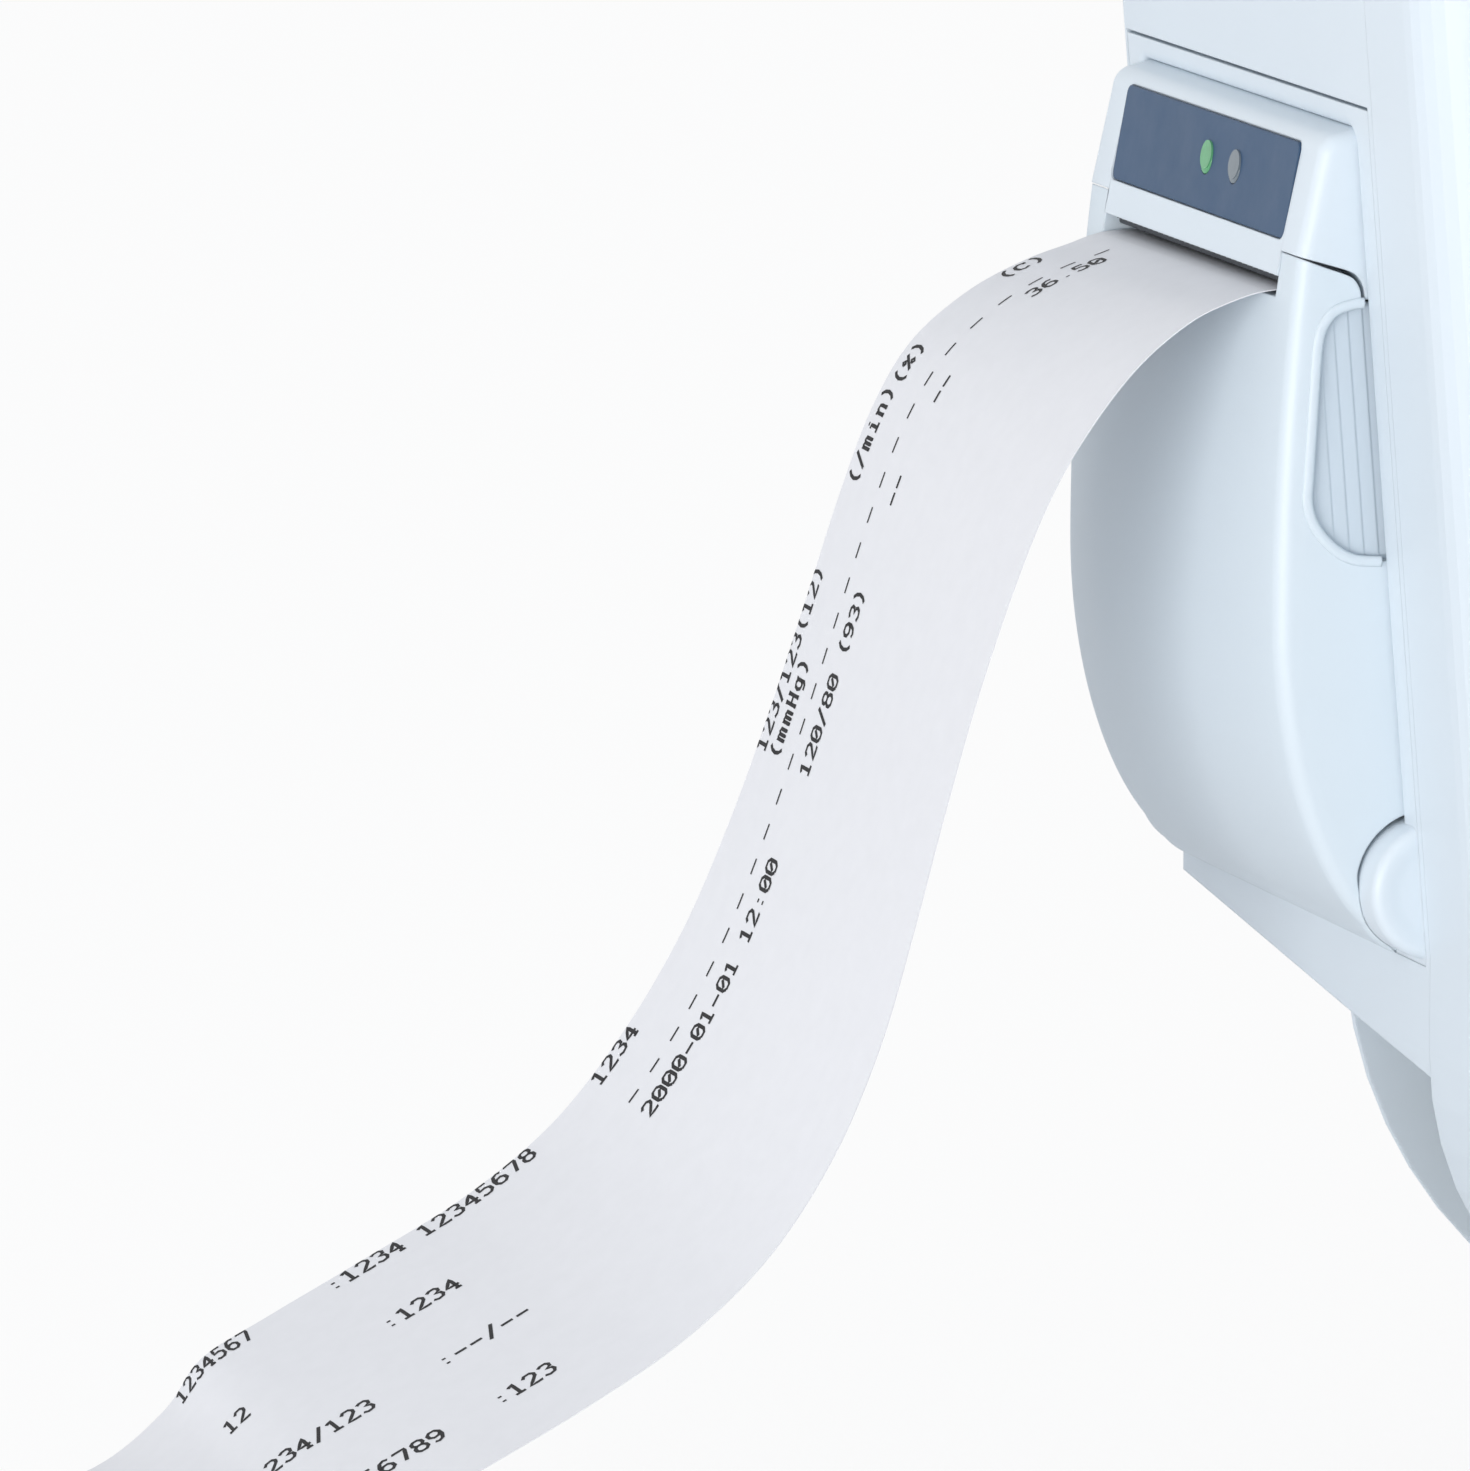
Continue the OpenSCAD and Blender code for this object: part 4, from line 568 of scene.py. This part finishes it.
def cover_outline(y, inset=0.0):
    """Section of the cover: a tail down to the rim at each end, and the edge over the paper between."""
    corner = 2.4

    def face_x(z):
        return FACE_LOW_X + (z - COVER_BOTTOM) * FACE_LEAN + inset

    low = joint_line(face_x(JOINT_TOP + 0.05), 1, FAR_OPENING * inset if y > PAPER_Y else 0)
    bottom = low[-1][1]
    if SLOT_NEAR <= y <= SLOT_FAR:
        start, end = face_x(SLOT_TOP) + 0.25, low[-1][0]
        low = [(start + (end - start) * k / (len(low) - 1), SLOT_TOP) for k in range(len(low))]
        low[0] = (face_x(SLOT_TOP + 0.25), SLOT_TOP + 0.25)
        bottom = SLOT_TOP
    top = arc(FACE_HIGH_X + corner, COVER_TOP - corner, corner - inset, 90, 176, 8)
    raised = COVER_TOP + COVER_RAISE - inset
    return [(COVER_BACK, bottom), (COVER_BACK, raised), (-110.2, raised)] + top + low


def make_cover():
    step = 0.01
    stations = [SLOT_NEAR - step, SLOT_NEAR + step, SLOT_FAR - step, SLOT_FAR + step]
    cover = rolled("printer_cover_shell", cover_outline, COVER_NEAR, COVER_FAR, END_ROLL, "case_white",
                   stations, angle=30)
    gap = 0.15
    recess = face_rect("t", -LABEL_W / 2 - gap, LABEL_W / 2 + gap, LABEL_LOW - gap,
                       LABEL_LOW + LABEL_H + gap, 1.0, -3, 0.75, "case_white")
    inside = prism("t", [(-113, COVER_BOTTOM + 1.2), (-111, COVER_TOP - 2), (-99, COVER_TOP - 2),
                         (-99, COVER_BOTTOM + 1.2)], COVER_NEAR + 2.4, COVER_FAR - 2.4, "case_white")
    pocket = block("t", (FACE_LOW_X + 0.5, SLOT_NEAR + 0.3, SLOT_TOP - 1),
                   (-101, SLOT_FAR - 0.3, SLOT_TOP + 1.6), "case_white", 0)
    boolean(cover, [recess, inside, pocket], angle=30)
    place(cover, "monitor", "printer_cover", slot="case_white")
    # Dark block across the slot, just behind the cover's face and over the paper: painted shade that darkens
    # the slot's mouth
    slot_shade = block("slot_painted_shade", (FACE_LOW_X + 1.1, SLOT_NEAR + 0.5, SLOT_TOP - 0.85),
                   (FACE_LOW_X + 2, SLOT_FAR - 0.5, SLOT_TOP + 1.5), "dark_plastic", 0.2)
    place(slot_shade, "monitor", slot="dark_plastic")


def make_label():
    plate = face_rect("label_film", -LABEL_W / 2, LABEL_W / 2, LABEL_LOW, LABEL_LOW + LABEL_H, 0.9,
                      0.22, 0.7, "label_blue")
    bores = []
    for y in LAMP_YS:
        ring = arc(y, LAMP_Z, 1.55, 0, 360, 40)[:-1]
        bores.append(loft("t", [[face_point(x, a, b) for a, b in ring] for x in (-2, 3)], "label_blue"))
    boolean(plate, bores)
    place(plate, "monitor", "label_plate", slot="label_blue")
    # Lamp lenses: a low dome on each light guide
    for name, y, material in (("lamp_lens_power", LAMP_YS[0], "lamp_green"),
                              ("lamp_lens_fault", LAMP_YS[1], "lamp_grey")):
        rings = []
        for k in range(-1, 7):
            a = math.radians(90 * max(k, 0) / 6)
            r = 1.48 * math.cos(a) if k < 6 else 0.02
            depth = 0.5 if k < 0 else 0.2 - 0.2 * math.sin(a)
            rings.append([face_point(depth, y + r * math.cos(w), LAMP_Z + r * math.sin(w))
                          for w in [2 * math.pi * j / 32 for j in range(32)]])
        place(loft(name, rings, material, angle=60), "monitor", slot=material)


# Printer frame

def hinge_ear(y_out, y_in):
    """Round ear that stands out of the rim, with its outer edge rolled and its face a little dished."""
    s = 1 if y_in > y_out else -1
    roll, n = 1.1, 72
    profile = [(y_out + s * 0.22, EAR_R - 3.2), (y_out + s * 0.2, EAR_R - 2.6), (y_out + s * 0.06, EAR_R - 2)]
    for k in range(0, 7):
        a = math.radians(15 * k)
        profile.append((y_out + s * roll * (1 - math.cos(a)), EAR_R - roll * (1 - math.sin(a))))
    profile.append((y_in, EAR_R))
    rings = [[(HINGE_X + r * math.cos(2 * math.pi * j / n), y, HINGE_Z + r * math.sin(2 * math.pi * j / n))
              for j in range(n)] for y, r in profile]
    return loft("t", rings, "case_white")


def make_frame():
    """Bay frame: rim flush with the wall, rounded into the bay, with the two hinge ears."""
    y0, y1 = BAY_NEAR + 0.04, BAY_FAR - SEAM
    z0, z1 = BAY_BOTTOM + 0.04, BAY_TOP - 0.32
    section = [(wall_x(z0), z0), (wall_x(REFERENCE_Z), REFERENCE_Z), (wall_x(z1), z1), (-64, z1), (-64, z0)]
    body = prism("printer_bay_frame", section, y0, y1, "case_white")
    inner_z0, inner_z1 = BAY_BOTTOM + 1.8, INSIDE_TOP
    roll = 0.7
    rounds = []
    for k in range(7):
        a = math.radians(90 * k / 6)
        rounds.append((-roll * (1 - math.cos(a)), roll * (1 - math.sin(a))))
    inner = []
    for off, grow in [(3.0, roll)] + rounds + [(-40, 0)]:
        za, zb = inner_z0 - grow, inner_z1 + 1.8 * grow
        ya, yb = INSIDE_NEAR - grow, INSIDE_FAR + grow
        r, wide = 1.2 + grow, 2.4 + grow
        ring = (arc(yb - r, zb - r, r, 0, 90, 6) + arc(ya + wide, zb - wide, wide, 90, 180, 6)
                + arc(ya + r, za + r, r, 180, 270, 6) + arc(yb - r, za + r, r, 270, 360, 6))
        inner.append([(wall_x(z, off) if off > -40 else -66, y, z) for y, z in ring])
    boolean(body, [loft("t", inner, "case_white")])
    # The floor of the rim stops behind the hinge
    ear_near, ear_far = INSIDE_NEAR + EAR_DEPTH, INSIDE_FAR - EAR_DEPTH
    boolean(body, [block("t", (-130, ear_near, z0 - 1), (HINGE_X + EAR_R + 1.8, ear_far, z0 + 5),
                         "case_white", 0)])
    adds = [hinge_ear(y0, ear_near), hinge_ear(y1, ear_far)]
    # A foot under each ear, a cup for each end of the roll, and the idler's pin
    for y_in, y_out in ((y0, ear_near), (ear_far, y1)):
        foot = [(wall_x(z0), z0), (-98, z0), (-98, 62.4), (wall_x(61.9) + 0.02, 61.9)]
        adds.append(prism("t", foot, y_in + 0.02, y_out - 0.02, "case_white"))
    for y_in, y_out in ((INSIDE_NEAR - 0.5, PAPER_Y - 26.2), (PAPER_Y + 26.2, INSIDE_FAR + 0.5)):
        adds.append(rod("t", ROLL_X, ROLL_Z, 6.5, y_in, y_out, "case_white"))
    adds.append(rod("t", -96, PLATEN_Z, 1.5, 29.1, INSIDE_FAR + 0.5, "case_white"))
    boolean(body, adds, "UNION")
    cuts, cup_r = [], 4.55
    for y_in, y_out in ((INSIDE_NEAR, PAPER_Y - 25.2), (PAPER_Y + 25.2, INSIDE_FAR)):
        cuts.append(rod("t", ROLL_X, ROLL_Z, cup_r, y_in, y_out, "case_white"))
        cuts.append(block("t", (ROLL_X - cup_r, y_in, ROLL_Z), (ROLL_X + cup_r, y_out, ROLL_Z + 10),
                          "case_white", 0))
    for y_in, y_out in ((INSIDE_NEAR - 1.5, INSIDE_NEAR + 5), (INSIDE_FAR - 5, INSIDE_FAR + 1.5)):
        cuts.append(rod("t", HINGE_X, HINGE_Z, HINGE_PIN_R, y_in, y_out, "case_white"))
    boolean(body, cuts)
    return place(body, "monitor", "printer_frame", slot="case_white")


# Paper and its print

# From the roll to the free end, close to the part's source: far edge x and z, then near edge x and z, with
# x from the foot of the side wall
STRIP_PATH = [
    (-9.1, 93.2, -9.1, 93.2), (-7.9, 97.8, -7.9, 97.8), (-3.6, 108.4, -3.6, 108.4),
    (0.8, 119, 0.8, 119), (0.9, 123, 0.9, 123), (0.8, 126.4, 0.8, 126.4), (-0.2, 128.4, -0.2, 128.4),
    (-3, 128.4, -3, 128.5), (-8, 128.2, -8, 128.4), (-13.2, 128, -13.2, 128.3),
    (-17, 126.9, -17, 127.4), (-22, 125.3, -21.6, 125.4), (-28, 122.4, -27, 121.2),
    (-34, 117.6, -32, 115.2), (-38.2, 111, -36.2, 108.4), (-41.8, 102, -40, 99.6),
    (-45.6, 90.7, -44, 88.2), (-49.5, 79.4, -47.4, 76.7), (-53.8, 68.2, -50.6, 65.1),
    (-58.8, 57.3, -54.1, 53.7), (-65.1, 47.2, -59, 42.8), (-72.8, 38, -65.8, 33),
    (-82.3, 30.8, -74.6, 25.2), (-92.8, 25.1, -84.8, 19), (-103.4, 19.6, -95.6, 13.4),
    (-110.6, 15.6, -105.4, 8.4), (-114.6, 10.4, -115.4, 4.4), (-122, 5, -126.4, 1.6),
    (-133, 2, -138, 0.6), (-145, 0.7, -149, 0.5)]
STRIP_ROWS = [(far_x - HALF_WIDTH, far_z, near_x - HALF_WIDTH, near_z)
              for far_x, far_z, near_x, near_z in STRIP_PATH]
LIP_ROW = 9


class Strip:
    """Surface of the paper: u runs from the lip towards the free end, v across from the near edge."""

    def __init__(self, rows, steps, lip):
        self.rows = spline(rows, steps)
        self.u = [0.0]
        for a, b in zip(self.rows, self.rows[1:]):
            dx, dz = (a[0] + a[2] - b[0] - b[2]) / 2, (a[1] + a[3] - b[1] - b[3]) / 2
            self.u.append(self.u[-1] + math.hypot(dx, dz))
        zero = self.u[lip * steps]
        self.u = [u - zero for u in self.u]

    def point(self, u, v):
        low, high = 0, len(self.u) - 1
        while high - low > 1:
            middle = (low + high) // 2
            if self.u[middle] <= u:
                low = middle
            else:
                high = middle
        t = (u - self.u[low]) / (self.u[high] - self.u[low])
        f = [a + (b - a) * t for a, b in zip(self.rows[low], self.rows[high])]
        s = v / PAPER_W
        return Vector((f[2] + (f[0] - f[2]) * s, PAPER_Y - PAPER_W / 2 + v, f[3] + (f[1] - f[3]) * s))

    def normal(self, u, v):
        a = self.point(u + 0.4, v) - self.point(u - 0.4, v)
        b = self.point(u, min(v + 1, PAPER_W)) - self.point(u, max(v - 1, 0))
        return b.cross(a).normalized()


STRIP = Strip(STRIP_ROWS, 8, LIP_ROW)
SHEET_T = 0.12


def sheet_mesh(name, u0, u1, step):
    nu, nv = max(2, round((u1 - u0) / step)), 20
    verts, faces = [], []
    for side in (-0.5, 0.5):
        for i in range(nu + 1):
            u = u0 + (u1 - u0) * i / nu
            for j in range(nv + 1):
                v = PAPER_W * j / nv
                verts.append(tuple(STRIP.point(u, v) + STRIP.normal(u, v) * SHEET_T * side))
    half = (nu + 1) * (nv + 1)

    def at(side, i, j):
        return side * half + i * (nv + 1) + j

    for side in (0, 1):
        for i in range(nu):
            for j in range(nv):
                faces.append((at(side, i, j), at(side, i + 1, j), at(side, i + 1, j + 1), at(side, i, j + 1)))
    for i in range(nu):
        for j in (0, nv):
            faces.append((at(0, i, j), at(0, i + 1, j), at(1, i + 1, j), at(1, i, j)))
    for j in range(nv):
        for i in (0, nu):
            faces.append((at(0, i, j), at(0, i, j + 1), at(1, i, j + 1), at(1, i, j)))
    return mesh(name, verts, faces, "paper", 40)


# Strokes of the printed characters, on a cell 5 wide and 7 high
STROKES = {
    "0": [[(1.2, 0), (0.4, 1.4), (0.4, 5.6), (1.2, 7), (2.8, 7), (3.6, 5.6), (3.6, 1.4), (2.8, 0), (1.2, 0)],
          [(1.1, 2), (2.9, 5)]],
    "1": [[(0.6, 5.6), (2, 7), (2, 0)], [(0.6, 0), (3.4, 0)]],
    "2": [[(0.4, 5.6), (1.2, 7), (2.8, 7), (3.6, 5.8), (3.4, 4.4), (0.4, 0), (3.6, 0), (3.6, 0.7)]],
    "3": [[(0.5, 6.2), (1.4, 7), (2.8, 7), (3.5, 6), (3.3, 4.5), (2, 3.8), (3.3, 3.2), (3.6, 1.8), (3, 0.4),
           (1.6, 0), (0.4, 0.8)]],
    "4": [[(2.8, 0), (2.8, 7), (0.3, 2.2), (3.8, 2.2)], [(1.9, 0), (3.7, 0)]],
    "5": [[(3.4, 7), (0.8, 7), (0.6, 4), (2.2, 4.3), (3.4, 3.4), (3.5, 1.4), (2.6, 0.1), (1.2, 0),
           (0.4, 0.7)]],
    "6": [[(3.4, 6.4), (2.4, 7), (1.2, 6.2), (0.5, 4), (0.5, 1.6), (1.3, 0.1), (2.7, 0), (3.6, 1.2),
           (3.5, 3), (2.6, 4), (1.3, 3.8), (0.5, 2.6)]],
    "7": [[(0.5, 6.3), (0.5, 7), (3.5, 7), (3.4, 6), (1.8, 0)]],
    "8": [[(1.3, 3.8), (0.6, 4.8), (0.7, 6.2), (1.4, 7), (2.6, 7), (3.3, 6.2), (3.4, 4.8), (2.7, 3.8),
           (1.3, 3.8), (0.5, 2.6), (0.5, 1.1), (1.3, 0), (2.7, 0), (3.5, 1.1), (3.5, 2.6), (2.7, 3.8)]],
    "9": [[(0.7, 0.6), (1.6, 0), (2.8, 0.8), (3.5, 3), (3.5, 5.4), (2.7, 6.9), (1.3, 7), (0.4, 5.8),
           (0.5, 4), (1.4, 3), (2.7, 3.2), (3.5, 4.4)]],
    ":": [[(2, 0.2), (2, 1.1)], [(2, 3.6), (2, 4.5)]],
    ".": [[(2, 0), (2, 0.8)]],
    "/": [[(0.4, -0.8), (3.6, 7.6)]],
    "-": [[(0.3, 3), (3.7, 3)]],
    "(": [[(3, 7.8), (2, 6), (1.6, 3.4), (2, 0.8), (3, -1)]],
    ")": [[(1, 7.8), (2, 6), (2.4, 3.4), (2, 0.8), (1, -1)]],
    "%": [[(0.3, 0), (3.7, 7)], [(0.5, 5.2), (1.3, 6.8), (1.9, 5.4), (1.1, 4.6), (0.5, 5.2)],
          [(2.2, 1.4), (3, 2.6), (3.6, 1.6), (2.9, 0.2), (2.2, 1.4)]],
    "C": [[(3.5, 5.2), (3.4, 7), (3.2, 6.5), (2, 7), (0.8, 6), (0.4, 3.5), (0.9, 0.9), (2.2, 0), (3.5, 1.1)]],
    "m": [[(0.1, 4.8), (0.6, 4.8), (0.6, 0)], [(0.2, 0), (1.1, 0)],
          [(0.6, 4), (1.2, 4.9), (1.9, 4.4), (1.9, 0)], [(1.6, 0), (2.3, 0)],
          [(1.9, 4), (2.6, 4.9), (3.3, 4.4), (3.3, 0)], [(3, 0), (3.8, 0)]],
    "H": [[(0.8, 0), (0.8, 7)], [(3.2, 0), (3.2, 7)], [(0.8, 3.6), (3.2, 3.6)], [(0.2, 7), (1.4, 7)],
          [(2.6, 7), (3.8, 7)], [(0.2, 0), (1.4, 0)], [(2.6, 0), (3.8, 0)]],
    "g": [[(3.6, 4.8), (2.9, 4.8), (2.9, -1), (2.2, -1.9), (0.9, -1.9)],
          [(2.9, 3.6), (2, 4.9), (0.9, 4.4), (0.4, 2.5), (0.9, 0.5), (2, 0), (2.9, 1.2)]],
    "i": [[(2, 6.2), (2, 7)], [(1, 4.8), (2, 4.8), (2, 0)], [(0.6, 0), (3.4, 0)]],
    "n": [[(0.2, 4.8), (0.9, 4.8), (0.9, 0)], [(0.3, 0), (1.5, 0)],
          [(0.9, 3.6), (1.8, 4.9), (2.9, 4.6), (3.1, 3.4), (3.1, 0)], [(2.5, 0), (3.7, 0)]],
}
CELL, GLYPH_H, PEN = 1.85, 2.35, 0.42


def ribbon(points, width):
    """Left and right side points of a pen stroke, cut into short lengths."""
    dense = [Vector(points[0])]
    for a, b in zip(points, points[1:]):
        a, b = Vector(a), Vector(b)
        parts = max(1, math.ceil((b - a).length / 0.7))
        dense += [a.lerp(b, k / parts) for k in range(1, parts + 1)]
    left, right = [], []
    for i, p in enumerate(dense):
        a, b = dense[max(i - 1, 0)], dense[min(i + 1, len(dense) - 1)]
        t = (b - a).normalized()
        n = Vector((-t.y, t.x)) * width / 2
        left.append(p + n)
        right.append(p - n)
    return left, right


def stroke_mesh(name, lines, lift):
    """Strokes given in u, v as one mesh that lies on the paper."""
    verts, faces = [], []
    for points, width in lines:
        left, right = ribbon(points, width)
        start = len(verts)
        for a, b in zip(left, right):
            for q in (a, b):
                u, v = q.x, min(max(q.y, 0.05), PAPER_W - 0.05)
                verts.append(tuple(STRIP.point(u, v) + STRIP.normal(u, v) * lift))
        for k in range(len(left) - 1):
            i = start + 2 * k
            faces.append((i, i + 1, i + 3, i + 2))
    return mesh(name, verts, faces, "print_black", 60)


def text_lines(text, u, v):
    """Strokes of a line of print that starts at u, v and runs back towards the lip."""
    lines = []
    for i, ch in enumerate(text):
        for stroke in STROKES.get(ch, []):
            points = [(u - (i + x / 4.6) * CELL, v + 0.2 + y / 7 * GLYPH_H) for x, y in stroke]
            lines.append((points, PEN))
    return lines


PRINT = [
    ("1234567", 164.5, 47.3), (":1234 12345678", 142.2, 47.3),
    ("12", 162.8, 34.4), (":1234", 142.2, 34.4),
    ("1234/123", 164.5, 21.8), (":--/--", 142.2, 21.8),
    ("123456789", 164.5, 9.2), (":123", 142.2, 9.2),
    ("1234", 107.2, 47.3), ("2000-01-01 12:00", 107.2, 35.2),
    ("123/123(12)", 68.8, 47.6), ("(mmHg)", 68.8, 43.8), ("120/80 (93)", 68.8, 35.2),
    ("(/min)", 39.6, 46.4), ("--", 39.8, 35.2), ("(%)", 28.4, 45.8), ("--", 28.4, 35.2),
    ("(C)", 12.6, 46.6), ("36.50", 13.4, 36.2),
]
DASH_START, DASH_V, DASH_PITCH, DASH_LENGTH, DASH_PEN = 107, 40.6, 3.8, 1.7, 0.32


def make_paper():
    first, last = STRIP.u[0] + 0.5, STRIP.u[-1] - 0.5
    web = sheet_mesh("paper_web", first, 0.4, 1.0)
    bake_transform(web)
    tail = sheet_mesh("paper_tail", 0.4, last, 1.0)
    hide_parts("paper_strip")
    lines = []
    for text, u, v in PRINT:
        lines += text_lines(text, u, v)
    for k in range(math.ceil((DASH_START - 1) / DASH_PITCH)):
        u = DASH_START - DASH_PITCH * k
        lines.append(([(u, DASH_V), (u - DASH_LENGTH, DASH_V)], DASH_PEN))
    ink = stroke_mesh("paper_print", lines, SHEET_T / 2 + 0.03)
    for piece in (tail, ink):
        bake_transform(piece)


make_door()
make_grips()
make_cover()
make_label()
make_frame()
make_paper()


# Stage, light and camera

def make_stage():
    bpy.ops.mesh.primitive_plane_add(size=60, location=(0, 0, 0))
    floor = bpy.context.object
    floor.name = "studio_floor"
    m, nt, bsdf, coord = node_setup("studio_floor")
    greys = [(0.3, (0.95, 0.95, 0.955, 1)), (0.7, (0.97, 0.97, 0.975, 1))]
    nt.links.new(ramp(nt, noise(nt, coord, 0.5), greys), bsdf.inputs["Base Color"])
    bsdf.inputs["Roughness"].default_value = 0.8
    glow = nt.nodes.new("ShaderNodeEmission")
    glow.inputs["Color"].default_value = (1, 1, 1, 1)
    glow.inputs["Strength"].default_value = 1.0
    path = nt.nodes.new("ShaderNodeLightPath")
    mix = nt.nodes.new("ShaderNodeMixShader")
    share = nt.nodes.new("ShaderNodeMath")
    share.operation = "MULTIPLY"
    share.inputs[1].default_value = 0.9
    nt.links.new(path.outputs["Is Camera Ray"], share.inputs[0])
    nt.links.new(share.outputs[0], mix.inputs["Fac"])
    nt.links.new(bsdf.outputs["BSDF"], mix.inputs[1])
    nt.links.new(glow.outputs["Emission"], mix.inputs[2])
    nt.links.new(mix.outputs["Shader"], nt.nodes["Material Output"].inputs["Surface"])
    floor.data.materials.append(m)


def make_world():
    world = bpy.data.worlds.new("studio")
    bpy.context.scene.world = world
    world.use_nodes = True
    nt = world.node_tree
    base = nt.nodes["Background"]
    base.inputs["Color"].default_value = (0.93, 0.96, 1.0, 1)
    base.inputs["Strength"].default_value = 0.7
    seen = nt.nodes.new("ShaderNodeBackground")
    seen.inputs["Color"].default_value = (1, 1, 1, 1)
    seen.inputs["Strength"].default_value = 1.0
    path = nt.nodes.new("ShaderNodeLightPath")
    either = nt.nodes.new("ShaderNodeMath")
    either.operation = "MAXIMUM"
    both = nt.nodes.new("ShaderNodeMath")
    both.operation = "MAXIMUM"
    mix = nt.nodes.new("ShaderNodeMixShader")
    nt.links.new(path.outputs["Is Camera Ray"], either.inputs[0])
    nt.links.new(path.outputs["Is Glossy Ray"], either.inputs[1])
    nt.links.new(either.outputs[0], both.inputs[0])
    nt.links.new(path.outputs["Is Transmission Ray"], both.inputs[1])
    nt.links.new(both.outputs[0], mix.inputs["Fac"])
    nt.links.new(base.outputs["Background"], mix.inputs[1])
    nt.links.new(seen.outputs["Background"], mix.inputs[2])
    nt.links.new(mix.outputs["Shader"], nt.nodes["World Output"].inputs["Surface"])


def area_light(name, place_at, target, size, power):
    data = bpy.data.lights.new(name, "AREA")
    data.shape, data.size, data.size_y = "RECTANGLE", size[0], size[1]
    data.energy = power
    lamp = bpy.data.objects.new(name, data)
    bpy.context.scene.collection.objects.link(lamp)
    lamp.location = place_at
    lamp.rotation_euler = (Vector(target) - Vector(place_at)).to_track_quat("-Z", "Y").to_euler()


PHOTO_WIDTH, FOCAL_LENGTH = 1470, 15000
CAMERA_AT = (-627.39, -1422.56, 328.21)


def make_camera():
    """Camera solved from the photo, in photo pixels: a long lens, 18 degrees round and 9.35 up."""
    turn, tilt = math.radians(17.985), math.radians(9.352)
    right = Vector((math.cos(turn), -math.sin(turn), 0))
    up = Vector((math.sin(turn) * math.sin(tilt), math.cos(turn) * math.sin(tilt), math.cos(tilt)))
    data = bpy.data.cameras.new("photo_view")
    data.sensor_fit, data.sensor_width = "HORIZONTAL", 36
    data.lens = 36 * FOCAL_LENGTH / PHOTO_WIDTH
    data.clip_start, data.clip_end = 0.05, 200
    cam = bpy.data.objects.new("photo_view", data)
    bpy.context.scene.collection.objects.link(cam)
    turned = Matrix((right, up, right.cross(up))).transposed()
    cam.matrix_world = Matrix.Translation(Vector(CAMERA_AT) * MM) @ turned.to_4x4()
    bpy.context.scene.camera = cam


make_stage()
make_world()
area_light("key", (-1.13, -1.8, 0.85), (-0.1, 0, 0.1), (1.4, 1.2), 2)
area_light("fill", (-1.15, -0.95, 0.08), (-0.1, 0, 0.06), (1.0, 0.2), 9.5)
make_camera()
bpy.context.scene.view_settings.view_transform = "Standard"
